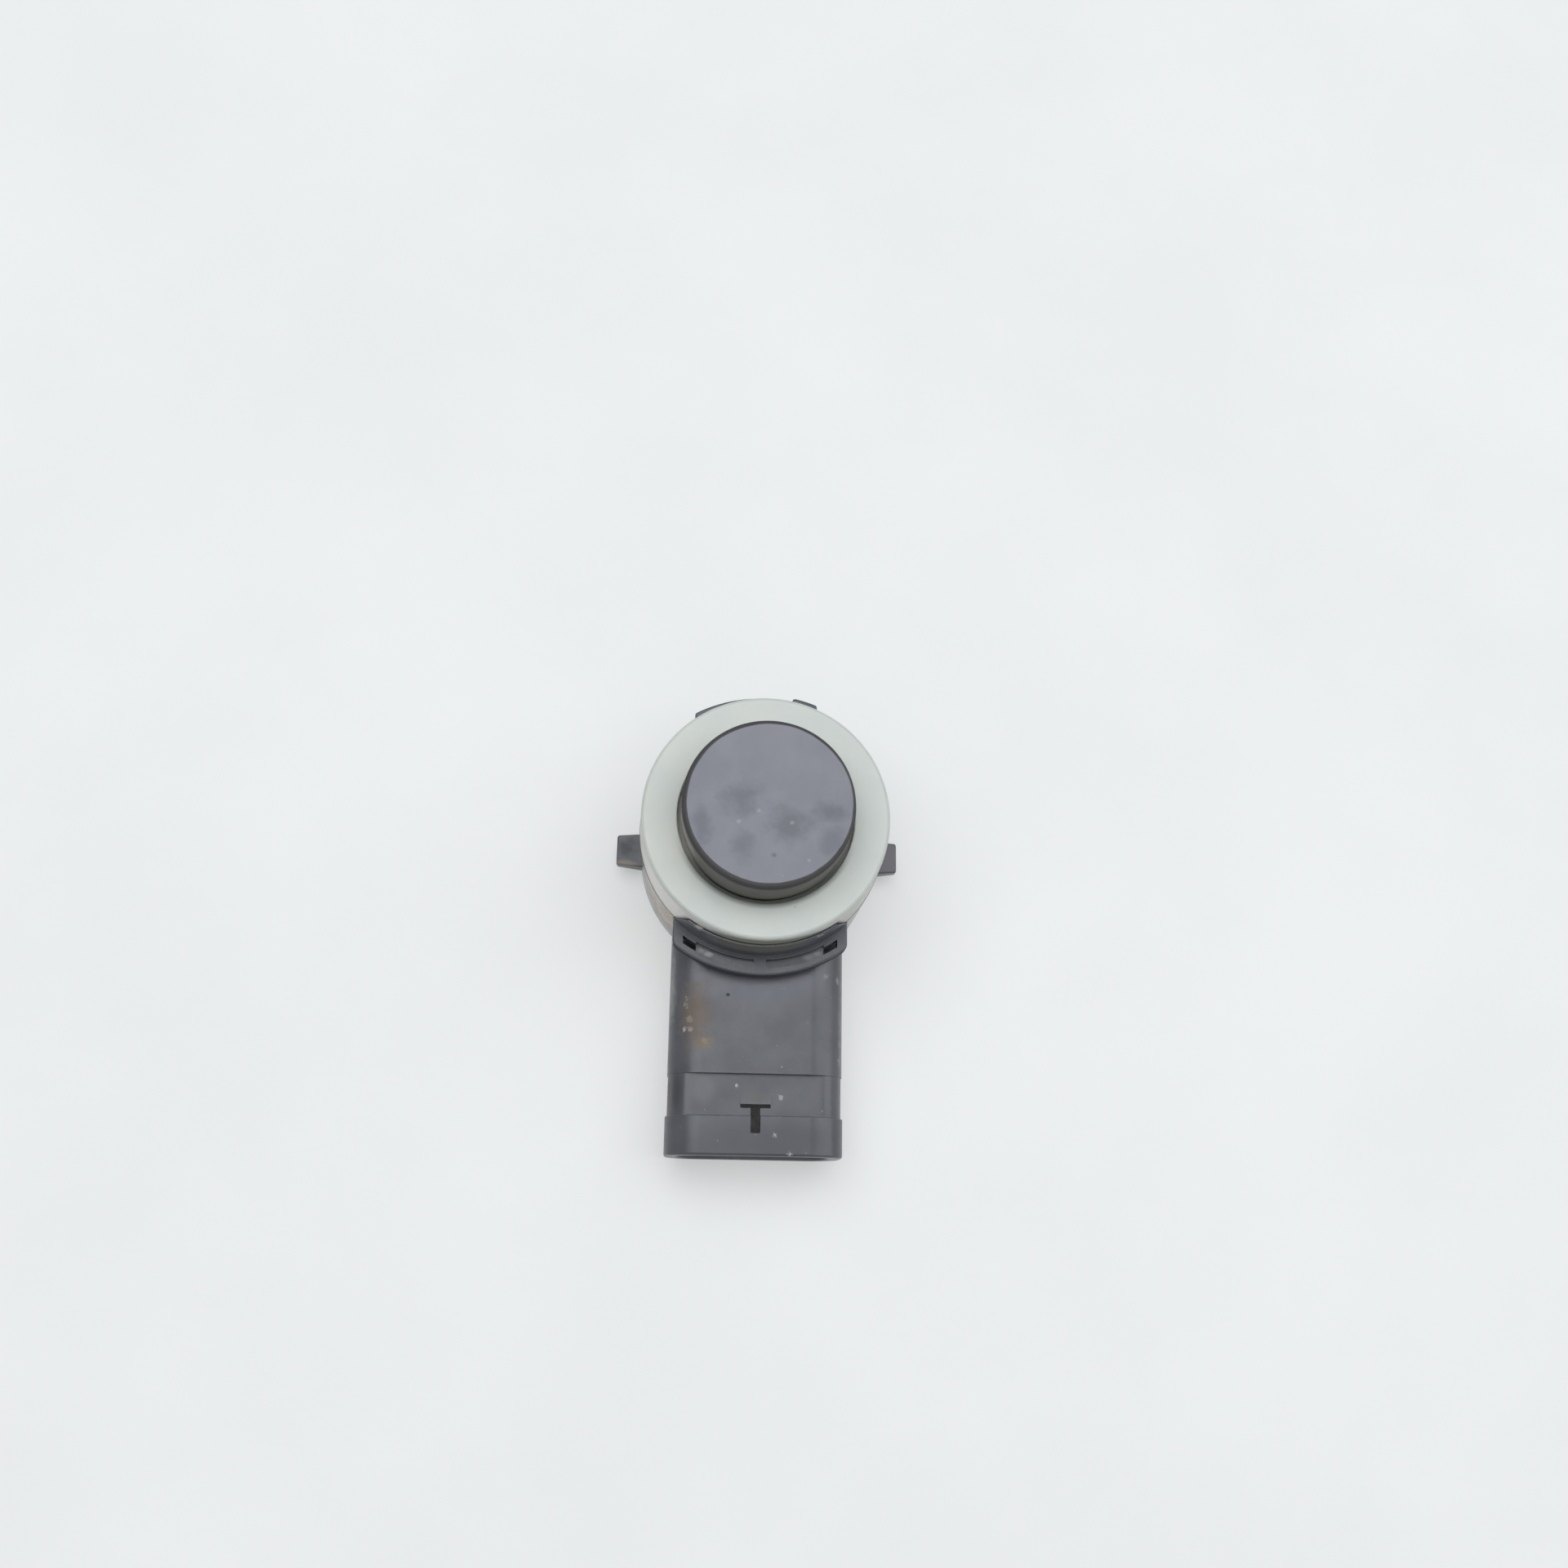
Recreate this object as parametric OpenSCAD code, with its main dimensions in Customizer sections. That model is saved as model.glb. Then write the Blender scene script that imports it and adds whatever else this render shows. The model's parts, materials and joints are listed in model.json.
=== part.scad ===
// Ultrasonic parking sensor: a membrane cup held by a soft ring on the front of a
// moulded barrel, with a three-pin socket out of one side.
// Frame: Z is the head's axis and points out of the membrane, the barrel's back rim
// lies on z = 0, and the socket's mouth looks along -Y. All sizes are millimetres.

/* [Membrane cup] */
// Diameter of the sounding membrane
membrane_d = 15.5; // [14:0.1:16]
// Height of the membrane's face above the soft ring
membrane_reach = 4.5; // [3:0.1:6]
// Thickness of the membrane
membrane_t = 0.75; // [0.5:0.05:1.2]
// Radius of the cup's rounded front edge
membrane_edge_r = 0.4; // [0.2:0.05:0.7]
// Thickness of the cup's wall at the round sides of its bore
cup_wall = 1.2; // [0.8:0.05:1.8]
// Thickness of the cup's wall at the flats of its bore
cup_flat_wall = 2.5; // [2:0.05:3]
// How far the cup's side steps in below the soft ring's front
cup_neck_step = 0.25; // [0.2:0.01:0.4]
// Width of the foot flange around the cup
cup_foot_w = 0.85; // [0.5:0.05:1.1]
// Thickness of the foot flange
cup_foot_t = 1.2; // [0.8:0.1:1.8]

/* [Transducer] */
// Diameter of the piezo disc
piezo_d = 7.2; // [6:0.1:8]
// Thickness of the piezo disc
piezo_t = 0.45; // [0.3:0.05:0.7]
// Thickness of the damping pad behind the piezo disc
pad_t = 5.6; // [3:0.1:6.5]
// Diameter of the two fine leads
lead_d = 0.4; // [0.25:0.05:0.5]

/* [Soft ring] */
// Height of the soft ring above the barrel
ring_h = 6.2; // [5.4:0.1:8]
// Step in from the barrel's side to the ring's foot
ring_setback = 0.04; // [0:0.01:0.1]
// How much the ring's radius shrinks towards its front
ring_taper = 0.2; // [0:0.05:0.5]
// Radius of the ring's front edge
ring_edge_r = 0.45; // [0.2:0.05:0.8]
// Width of the open groove around the cup
ring_groove_w = 0.35; // [0.2:0.05:0.6]
// Depth of the open groove around the cup
ring_groove_depth = 1.4; // [0.8:0.1:1.8]
// Thickness of the ring below the cup's foot
ring_floor_t = 1.6; // [1.2:0.1:2]
// How far the ring reaches in under the cup's foot
ring_floor_reach = 1.4; // [1:0.1:1.7]
// Width of the tongue that locks the ring into the barrel
ring_tongue_w = 0.7; // [0.5:0.05:0.8]
// Height of that tongue
ring_tongue_h = 1; // [0.6:0.1:1.3]

/* [Barrel] */
// Outer diameter of the barrel
barrel_d = 23.2; // [22.8:0.1:24]
// Height of the barrel
barrel_h = 11.3; // [11:0.1:13]
// Thickness of the barrel's wall
barrel_wall = 1.7; // [1.5:0.05:1.9]
// Thickness of the deck that carries the soft ring
deck_t = 1.5; // [1.2:0.1:2]
// Chamfer of the barrel's front and back edges
barrel_chamfer = 0.2; // [0.1:0.05:0.3]

/* [Flange] */
// Thickness of the flange
flange_t = 1.5; // [1:0.1:1.8]
// Step from the barrel's front rim down to the flange
flange_drop = 0.2; // [0:0.05:0.4]
// Rounding of the flange's edges
flange_edge_r = 0.2; // [0.1:0.05:0.4]
// Width of the flange over the socket
front_flange_w = 16.3; // [16:0.1:18]
// Distance from the axis to the straight edge of that flange
front_flange_y = 8.38; // [8:0.02:9]
// Corner radius of that flange
front_corner_r = 0.9; // [0.4:0.1:1.2]
// Width of the flange on the far side
back_flange_w = 13.4; // [12:0.1:15]
// Offset of the keying lug on the far side
key_x = 3.9; // [3:0.1:5]
// Width of the keying lug
key_w = 2.4; // [1.6:0.1:3]
// Reach of the keying lug past the flange
key_reach = 0.4; // [0.2:0.05:0.8]
// Thickness of the guard wall in front of the soft ring
guard_t = 0.37; // [0.3:0.01:0.5]
// How far the guard wall is let into the soft ring
guard_inset = 0.25; // [0.1:0.05:0.4]
// Height of the guard wall above the barrel
guard_h = 4.1; // [2:0.1:5]
// How far the ends of the guard wall lean in, in degrees
guard_lean = 13; // [0:1:20]

/* [Arc slots] */
// Gap between the barrel and the arc slots
arc_slot_gap = 0.72; // [0.6:0.02:0.9]
// Width of the arc slots in the flange
arc_slot_w = 0.6; // [0.5:0.02:0.8]
// Width of the strip outside the arc slots
arc_slot_edge = 0.63; // [0.5:0.01:0.8]
// Width from the far end of one slot to that of the other
arc_slot_span = 14.4; // [13:0.1:15]
// Width of the bridge between the slots
arc_slot_bridge = 1.15; // [0.8:0.05:2]
// Length of the open end of each slot
arc_slot_open = 1.25; // [0.8:0.05:2.5]
// Depth of the slots beside the bridge
arc_slot_shallow = 0.08; // [0.05:0.01:0.3]
// Depth of the slots beside their open ends
arc_slot_deep = 0.5; // [0.3:0.05:1]
// Width of the crevice along the inside of the slots
arc_crevice_w = 0.2; // [0.1:0.01:0.3]
// Depth of that crevice
arc_crevice_depth = 0.6; // [0.3:0.05:1]

/* [Side latches] */
// Width across the tips of the side latches
latch_span = 28; // [27:0.1:29]
// Width of a latch at the barrel
latch_root_w = 3.5; // [3:0.1:5]
// Width of a latch at its tip
latch_tip_w = 2.96; // [2:0.02:4]
// Height of the latches' top face above the back rim
latch_top = 2.6; // [2.2:0.1:4]
// Thickness of a latch at the barrel
latch_root_t = 1.9; // [1.5:0.1:2.1]
// Thickness of a latch at its tip
latch_tip_t = 1.1; // [0.8:0.1:1.4]

/* [Socket] */
// Width of the socket's shroud
shroud_w = 16.45; // [15.6:0.05:17]
// Height of the socket's shroud
shroud_h = 8.7; // [8.2:0.1:9]
// Gap below the shroud when the barrel stands on its back rim
shroud_lift = 0.15; // [0.1:0.05:0.3]
// Corner radius of the shroud
shroud_corner_r = 3.3; // [2:0.1:3.8]
// Thickness of the shroud's wall
shroud_wall = 1.2; // [1:0.05:1.5]
// Distance from the axis to the socket's mouth
shroud_reach = 29.75; // [29:0.05:33]
// Depth of the socket
socket_depth = 14; // [12:0.1:15]
// Length of the collar at the mouth
collar_len = 3.6; // [3:0.1:4.5]
// Chamfer around the outside of the mouth
mouth_chamfer = 0.25; // [0.1:0.05:0.4]
// Lead-in chamfer around the inside of the mouth
mouth_lead_in = 0.35; // [0.2:0.05:0.5]
// Step of the collar past the shroud
collar_step = 0.1; // [0.05:0.01:0.14]
// Length of the waist behind the collar
waist_len = 3.8; // [3:0.1:5]
// Step of the waist into the shroud's sides
waist_step = 0.08; // [0.05:0.01:0.2]
// Depth of the waist's flat below the shroud's top
waist_flat = 0.53; // [0.2:0.01:0.6]
// Width of the latch slot's bar
latch_bar_w = 2.8; // [2:0.1:4]
// Length of the latch slot's bar
latch_bar_t = 0.35; // [0.25:0.05:0.6]
// Width of the latch slot's stem
latch_stem_w = 0.9; // [0.6:0.1:1.4]
// Length of the latch slot's stem
latch_stem_len = 2.3; // [1:0.1:2.6]
// Distance from the latch slot's bar to the collar
latch_bar_set = 0.9; // [0.4:0.05:1.2]
// Height of the ramp behind the latch slot
latch_ramp_h = 0.16; // [0.1:0.02:0.2]
// Length of the ramp behind the latch slot
latch_ramp_len = 1.1; // [0.6:0.1:1.6]

/* [Terminals] */
// Side of a terminal's square section
terminal_w = 0.64; // [0.5:0.02:0.8]
// Distance between terminals
terminal_pitch = 3.6; // [3:0.1:4]
// Distance from the socket's mouth to the terminals' tips
terminal_set_back = 5.5; // [4.6:0.1:7]
// Length of a terminal's point
terminal_point = 0.9; // [0.5:0.1:1.5]
// Distance from the axis to the terminals' legs
terminal_leg_y = 7; // [6.6:0.1:7.2]
// Gap between the terminals and the board below them
terminal_rise = 0.6; // [0.4:0.05:0.8]
// Length of the terminals' ends below the board
terminal_stub = 0.6; // [0.4:0.05:0.7]

/* [Circuit board] */
// Thickness of the circuit board
board_t = 1; // [0.8:0.1:1.2]
// Gap between the board's edge and the barrel
board_gap = 0.2; // [0.1:0.05:0.3]
// Width of the stops that the board rests against
board_stop_w = 1.6; // [1:0.1:2]
// How far the stops reach in over the board
board_stop_reach = 0.8; // [0.5:0.05:1]

/* [Rear cover] */
// Thickness of the rear cover
cover_t = 1.1; // [0.8:0.05:1.2]
// Width of the ledge that the cover seats on
cover_ledge = 0.7; // [0.5:0.05:0.8]
// Thickness of the cover's rim that presses on the board
cover_rim_t = 0.8; // [0.6:0.05:1]

/* [Parts on the board] */
// Side of the transformer's square base
transformer_base_w = 5.6; // [5:0.1:6]
// Thickness of the transformer's base
transformer_base_t = 0.7; // [0.5:0.05:1]
// Diameter of the transformer's core
transformer_d = 5.2; // [4.6:0.1:5.2]
// Height of the transformer's core
transformer_h = 3.8; // [3:0.1:4.5]
// Thickness of the core's end discs
transformer_cheek_t = 0.7; // [0.5:0.05:0.9]
// Diameter of the core's post
transformer_post_d = 2.4; // [2:0.1:3]
// Length of the control chip's body
chip_l = 5; // [4.6:0.1:5.4]
// Width of the control chip's body
chip_w = 4; // [3.6:0.1:4.2]
// Height of the control chip above the board
chip_h = 1.4; // [1:0.1:1.8]
// Distance between the chip's legs
chip_leg_pitch = 0.8; // [0.65:0.05:0.8]
// Length of the storage capacitor
storage_l = 3.5; // [3:0.1:4]
// Width of the storage capacitor
storage_w = 2.8; // [2.2:0.1:3]
// Height of the storage capacitor
storage_h = 1.9; // [1.5:0.1:2.4]
// Length of the small chip parts
small_part_l = 1.6; // [1.2:0.1:1.8]
// Width of the small chip parts
small_part_w = 0.8; // [0.6:0.05:0.9]
// Height of the filter capacitors
filter_h = 0.8; // [0.6:0.05:1]
// Height of the resistors
resistor_h = 0.45; // [0.35:0.05:0.6]
// Length of the protection diode
diode_l = 2.6; // [2.2:0.1:3]
// Width of the protection diode
diode_w = 1.6; // [1.2:0.1:1.8]
// Height of the protection diode
diode_h = 1.1; // [0.9:0.05:1.4]

/* [Clearances] */
// Clearance between pieces that are pushed together
fit = 0.05; // [0.02:0.01:0.1]

/* [Hidden] */
$fn = 96;
cut = 0.5;

// Membrane cup and what it holds
cup_r = membrane_d / 2;
cup_neck_r = cup_r - cup_neck_step;
cup_foot_r = cup_r + cup_foot_w;
cup_z = barrel_h + ring_floor_t;
ring_front_z = barrel_h + ring_h;
membrane_z = ring_front_z + membrane_reach;
cup_bore_top = membrane_z - membrane_t;
cup_bore_r = cup_r - cup_wall;
cup_bore_flat = membrane_d - 2 * cup_flat_wall;
piezo_z = cup_bore_top - piezo_t;

// Soft ring
ring_foot_r = barrel_d / 2 - ring_setback;
ring_front_r = ring_foot_r - ring_taper;
ring_bore_r = cup_foot_r - ring_floor_reach;
tongue_mid_r = barrel_d / 2 - barrel_wall / 2;

// Barrel and flange: the arc slots and the strip outside them set the flange's radius
barrel_r = barrel_d / 2;
cavity_r = barrel_r - barrel_wall;
deck_z = barrel_h - deck_t;
guard_r = barrel_r - guard_inset;
guard_top = barrel_h + guard_h;
arc_slot_in_r = barrel_r + arc_slot_gap;
arc_slot_out_r = arc_slot_in_r + arc_slot_w;
flange_r = arc_slot_out_r + arc_slot_edge;
flange_d = 2 * flange_r;
flange_z = barrel_h - flange_drop - flange_t;
flange_top = flange_z + flange_t;

// Socket: the collar and the waist are measured back from the mouth
shroud_mid_z = shroud_lift + shroud_h / 2;
shroud_top = shroud_lift + shroud_h;
collar_y = shroud_reach - collar_len;
waist_y = collar_y - waist_len;
latch_bar_y = collar_y - latch_bar_set;
shroud_root_y = cavity_r - barrel_wall;

// Board stack: the terminals' height sets the board, and the board the cover's rim
terminal_z = shroud_mid_z;
terminal_tip_y = shroud_reach - terminal_set_back;
terminal_x = [-terminal_pitch, 0, terminal_pitch];
terminal_hole_r = terminal_w * sqrt(2) / 2 + fit;
board_top = terminal_z - terminal_w / 2 - terminal_rise;
board_z = board_top - board_t;
board_r = cavity_r - board_gap;
board_stop_angles = [90, 200, 340];

// Places on the board, seen from the membrane's side
signal_lead_at = [1.2, 2.4];
ground_lead_at = [0, cup_bore_flat / 2 + (cup_foot_r - cup_bore_flat / 2) / 3];
transformer_at = [-4.2, 2.6];
chip_at = [4.2, -1.6];
storage_at = [4.6, 4.6];
diode_at = [-4.6, -2.6];
filter_at = [-1, -2.4];
filter_count = 4;
filter_pitch = 1.2;
resistor_at = [-2.3, -5.3];
resistor_count = 4;
resistor_pitch = 2.2;
chip_legs = 6;
leg_t = 0.16;
leg_foot = 0.5;
leg_w = 0.3;

// Shared shapes

// A tube standing on z
module tube(outer_r, inner_r, z, h) {
    translate([0, 0, z]) difference() {
        cylinder(r = outer_r, h = h);
        translate([0, 0, -cut]) cylinder(r = inner_r, h = h + 2 * cut);
    }
}

// A shape and its mirror image on the other side of the socket's axis
module on_both_sides() {
    for (side = [0, 1]) mirror([side, 0, 0]) children();
}

// A rectangle with round corners, centred
module round_rect(w, h, r) {
    square([w, h - 2 * r], center = true);
    square([w - 2 * r, h], center = true);
    for (sx = [-1, 1], sy = [-1, 1])
        translate([sx * (w / 2 - r), sy * (h / 2 - r)]) circle(r);
}

// The revolved profile of a plain disc or cup: a rectangle with a rounded front edge
module rounded_profile(r, z, top, edge_r) {
    translate([0, z]) square([r, top - z - edge_r]);
    translate([0, z]) square([r - edge_r, top - z]);
    translate([r - edge_r, top - edge_r]) circle(edge_r);
}

// A slab with round corners that narrows by the same amount as it is thick
module tapered_slab(w, h, r, t) {
    for (sx = [-1, 1], sy = [-1, 1])
        translate([sx * (w / 2 - r), sy * (h / 2 - r), 0]) cylinder(r1 = r, r2 = r - t, h = t);
    translate([0, h / 2 - r, 0]) rotate([90, 0, 0]) linear_extrude(h - 2 * r)
        polygon([[-w / 2, 0], [w / 2, 0], [w / 2 - t, t], [t - w / 2, t]]);
    translate([r - w / 2, 0, 0]) rotate([90, 0, 90]) linear_extrude(w - 2 * r)
        polygon([[-h / 2, 0], [h / 2, 0], [h / 2 - t, t], [t - h / 2, t]]);
}

// Places a section in the socket's axis, at a distance from the head's axis
module at_socket(y) {
    translate([0, -y, shroud_mid_z]) rotate([90, 0, 0]) children();
}

// A slab of the socket's section that runs from one distance off the axis to another
module along_socket(y_from, y_to) {
    at_socket(y_from) linear_extrude(y_to - y_from) children();
}

// A chip body on the board, with the given footprint and height
module on_board(at, l, w, h) {
    translate([at[0] - l / 2, at[1] - w / 2, board_top]) cube([l, w, h]);
}

// Housing

module barrel_body() {
    c = barrel_chamfer;
    rotate_extrude() polygon([
        [0, 0], [barrel_r - c, 0], [barrel_r, c],
        [barrel_r, barrel_h - c], [barrel_r - c, barrel_h], [0, barrel_h]
    ]);
}

// The full flange disc, with rounded edges, before its sectors are cut from it
module flange_disc(r) {
    e = flange_edge_r;
    rotate_extrude() translate([0, flange_z]) {
        square([r - e, flange_t]);
        translate([0, e]) square([r, flange_t - 2 * e]);
        for (z = [e, flange_t - e]) translate([r - e, z]) circle(e);
    }
}

// Plan of the sector over the socket: a straight edge towards the axis, straight ends,
// and corners that run tangent into the flange's arc
module front_flange_plan() {
    half_w = front_flange_w / 2;
    corner_x = half_w - front_corner_r;
    corner_y = sqrt(pow(flange_r - front_corner_r, 2) - pow(corner_x, 2));
    spread = 2 * flange_r / norm([corner_x, corner_y]);
    difference() {
        union() {
            polygon([[0, 0], [-corner_x, -corner_y] * spread, [corner_x, -corner_y] * spread]);
            translate([-half_w, -corner_y]) square([front_flange_w, corner_y]);
            for (side = [-1, 1]) translate([side * corner_x, -corner_y]) circle(front_corner_r);
        }
        translate([-flange_d, -front_flange_y]) square([2 * flange_d, 2 * flange_d]);
    }
}

module front_flange() {
    intersection() {
        flange_disc(flange_r);
        translate([0, 0, flange_z - cut]) linear_extrude(flange_t + 2 * cut) front_flange_plan();
    }
}

module back_flange() {
    intersection() {
        flange_disc(flange_r);
        translate([-back_flange_w / 2, 0, 0]) cube([back_flange_w, flange_d, barrel_h]);
    }
    intersection() {
        flange_disc(flange_r + key_reach);
        translate([key_x - key_w / 2, 0, 0]) cube([key_w, flange_d, barrel_h]);
    }
}

// The part of a tube that lies in front of a straight edge on the flange, and leans in above it
module front_sector(edge_y) {
    intersection() {
        children();
        translate([-flange_r, -edge_y, flange_top]) rotate([guard_lean, 0, 0])
            translate([0, -flange_d, -flange_d]) cube([flange_d, flange_d, 2 * flange_d]);
    }
}

// The wall that stands on the flange in front of the soft ring
module guard_wall() {
    front_sector(front_flange_y) tube(guard_r + guard_t, guard_r, flange_z, guard_top - flange_z);
}

// The notch in the soft ring that clears the guard wall
module guard_notch() {
    front_sector(front_flange_y - fit)
        tube(barrel_r + cut, guard_r - fit, flange_z, guard_top + fit - flange_z);
}

// The two arc slots: a floor that falls away from the bridge, a through opening at the end,
// and a crevice along the inside
module arc_slots() {
    open_x = arc_slot_span / 2 - arc_slot_open;
    intersection() {
        tube(arc_slot_out_r, arc_slot_in_r, flange_z - cut, flange_t + 2 * cut);
        on_both_sides() rotate([90, 0, 0]) linear_extrude(flange_r) polygon([
            [arc_slot_bridge / 2, flange_top + cut],
            [arc_slot_bridge / 2, flange_top - arc_slot_shallow],
            [open_x, flange_top - arc_slot_deep],
            [open_x, flange_z - cut],
            [arc_slot_span / 2, flange_z - cut],
            [arc_slot_span / 2, flange_top + cut]
        ]);
    }
    intersection() {
        tube(arc_slot_in_r + fit, arc_slot_in_r - arc_crevice_w, flange_top - arc_crevice_depth, flange_t);
        on_both_sides() translate([arc_slot_bridge / 2, -flange_r, 0])
            cube([open_x - arc_slot_bridge / 2, flange_r, membrane_z]);
    }
}

// A wedge that snaps behind the bracket: narrower and thinner towards its tip
module side_latch() {
    root_x = cavity_r + barrel_wall / 2;
    tip_x = latch_span / 2;
    intersection() {
        linear_extrude(latch_top) polygon([
            [root_x, -latch_root_w / 2], [tip_x, -latch_tip_w / 2],
            [tip_x, latch_tip_w / 2], [root_x, latch_root_w / 2]
        ]);
        translate([0, latch_root_w, 0]) rotate([90, 0, 0]) linear_extrude(2 * latch_root_w) polygon([
            [root_x, latch_top - latch_root_t], [tip_x, latch_top - latch_tip_t],
            [tip_x, latch_top], [root_x, latch_top]
        ]);
    }
}

module shroud_section(grow = 0) {
    round_rect(shroud_w + 2 * grow, shroud_h + 2 * grow, shroud_corner_r + grow);
}

module tapered_shroud(grow, t) {
    tapered_slab(shroud_w + 2 * grow, shroud_h + 2 * grow, shroud_corner_r + grow, t);
}

module shroud_body() {
    along_socket(shroud_root_y, waist_y) shroud_section();
    along_socket(waist_y, collar_y) intersection() {
        shroud_section(-waist_step);
        square([shroud_w, shroud_h - 2 * waist_flat], center = true);
    }
    along_socket(collar_y, shroud_reach - mouth_chamfer) shroud_section(collar_step);
    at_socket(shroud_reach - mouth_chamfer) tapered_shroud(collar_step, mouth_chamfer);
    latch_ramp();
}

module latch_ramp() {
    waist_top = shroud_top - waist_flat;
    ramp_y = latch_bar_y - latch_bar_t / 2;
    translate([-latch_bar_w / 2, 0, 0]) rotate([90, 0, 90]) linear_extrude(latch_bar_w) polygon([
        [-ramp_y + latch_ramp_len, waist_top - shroud_wall / 2],
        [-ramp_y + latch_ramp_len, waist_top],
        [-ramp_y, waist_top + latch_ramp_h],
        [-ramp_y, waist_top - shroud_wall / 2]
    ]);
}

// Through the shroud's top wall: a bar across the waist and a stem towards the mouth
module latch_slot() {
    wall_z = shroud_top - 2 * shroud_wall;
    bar_front = latch_bar_y + latch_bar_t / 2;
    translate([-latch_bar_w / 2, -bar_front, wall_z]) cube([latch_bar_w, latch_bar_t, 4 * shroud_wall]);
    translate([-latch_stem_w / 2, -bar_front - latch_stem_len, wall_z])
        cube([latch_stem_w, latch_stem_len + latch_bar_t, 4 * shroud_wall]);
}

module socket_hollow() {
    along_socket(shroud_reach - socket_depth, shroud_reach + cut) shroud_section(-shroud_wall);
    lead_in = mouth_lead_in + cut;
    at_socket(shroud_reach + cut) rotate([180, 0, 0]) tapered_shroud(lead_in - shroud_wall, lead_in);
}

// Square channels in which the terminals are moulded
module terminal_channels() {
    side = terminal_w + 2 * fit;
    for (x = terminal_x)
        translate([x - side / 2, -shroud_reach, terminal_z - side / 2])
            cube([side, shroud_reach, side]);
}

// The hollow behind the deck, the seat of the cover, and the groove for the ring's tongue
module barrel_hollow() {
    difference() {
        translate([0, 0, -cut]) cylinder(r = cavity_r, h = deck_z + cut);
        board_stops();
    }
    translate([0, 0, -cut]) cylinder(r = cavity_r + cover_ledge, h = cover_t + cut);
    cylinder(r = ring_bore_r, h = barrel_h + cut);
    tube(tongue_mid_r + ring_tongue_w / 2 + fit, tongue_mid_r - ring_tongue_w / 2 - fit,
         barrel_h - ring_tongue_h - fit, ring_tongue_h + fit + cut);
}

// Stops that are left standing below the deck and meet the board's edge
module board_stops() {
    intersection() {
        tube(barrel_r, cavity_r - board_stop_reach, board_top, barrel_h);
        for (angle = board_stop_angles) rotate(angle)
            translate([0, -board_stop_w / 2, 0]) cube([barrel_r, board_stop_w, barrel_h]);
    }
}

module housing() {
    color([0.17, 0.17, 0.18]) difference() {
        union() {
            barrel_body();
            front_flange();
            back_flange();
            guard_wall();
            for (turn = [0, 180]) rotate(turn) side_latch();
            shroud_body();
        }
        arc_slots();
        barrel_hollow();
        socket_hollow();
        latch_slot();
        terminal_channels();
    }
}

// The cover's rim stands inside the barrel and presses the board against the stops
module rear_cover() {
    rim_r = cavity_r - board_gap;
    color([0.15, 0.15, 0.16]) {
        cylinder(r = cavity_r + cover_ledge - fit, h = cover_t);
        tube(rim_r, rim_r - cover_rim_t, cover_t / 2, board_z - cover_t / 2);
    }
}

// Head

module ring_outline() {
    difference() {
        union() {
            polygon([
                [0, barrel_h], [ring_foot_r, barrel_h],
                [ring_front_r, ring_front_z - ring_edge_r], [0, ring_front_z - ring_edge_r]
            ]);
            square_from(ring_front_z - ring_edge_r, ring_front_r - ring_edge_r, ring_edge_r);
            translate([ring_front_r - ring_edge_r, ring_front_z - ring_edge_r]) circle(ring_edge_r);
        }
        square_from(barrel_h - cut, ring_bore_r, ring_h + 2 * cut);
        square_from(cup_z, cup_foot_r + fit, cup_foot_t + fit);
        square_from(cup_z, cup_neck_r + fit, ring_h);
        square_from(ring_front_z - ring_groove_depth, cup_r + ring_groove_w, ring_h);
    }
    translate([tongue_mid_r - ring_tongue_w / 2, barrel_h - ring_tongue_h])
        square([ring_tongue_w, ring_tongue_h + ring_floor_t / 2]);
}

// A rectangle in a revolved profile that runs out from the axis
module square_from(z, r, h) {
    translate([0, z]) square([r, h]);
}

module decoupling_ring() {
    color([0.77, 0.8, 0.77]) difference() {
        rotate_extrude() ring_outline();
        guard_notch();
    }
}

// The cup's bore: round, with two flats that shape the beam
module cup_bore(z, h, shrink) {
    translate([0, 0, z]) intersection() {
        cylinder(r = cup_bore_r - shrink, h = h);
        translate([-cup_r, -cup_bore_flat / 2 + shrink, 0])
            cube([membrane_d, cup_bore_flat - 2 * shrink, h]);
    }
}

module membrane_cup() {
    color([0.54, 0.55, 0.59]) difference() {
        rotate_extrude() {
            rounded_profile(cup_r, ring_front_z, membrane_z, membrane_edge_r);
            square_from(cup_z, cup_neck_r, membrane_reach + ring_h - ring_floor_t - membrane_edge_r);
            square_from(cup_z, cup_foot_r, cup_foot_t);
        }
        cup_bore(cup_z - cut, cup_bore_top - cup_z + cut, 0);
    }
}

module piezo_disc() {
    color([0.85, 0.82, 0.72]) translate([0, 0, piezo_z]) cylinder(d = piezo_d, h = piezo_t);
}

module damping_pad() {
    color([0.35, 0.36, 0.38]) difference() {
        cup_bore(piezo_z - pad_t, pad_t, fit);
        lead_bore(piezo_z - pad_t - cut, pad_t + 2 * cut);
    }
}

module lead_bore(z, h) {
    translate([signal_lead_at[0], signal_lead_at[1], z]) cylinder(d = lead_d + 2 * fit, h = h);
}

// A lead runs straight down from its joint into its hole in the board
module lead(at, top) {
    translate([at[0], at[1], board_z]) cylinder(d = lead_d, h = top - board_z);
}

module signal_lead() {
    color([0.75, 0.3, 0.2]) lead(signal_lead_at, piezo_z);
}

module ground_lead() {
    color([0.2, 0.2, 0.22]) lead(ground_lead_at, cup_z);
}

// Board and terminals

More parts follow.
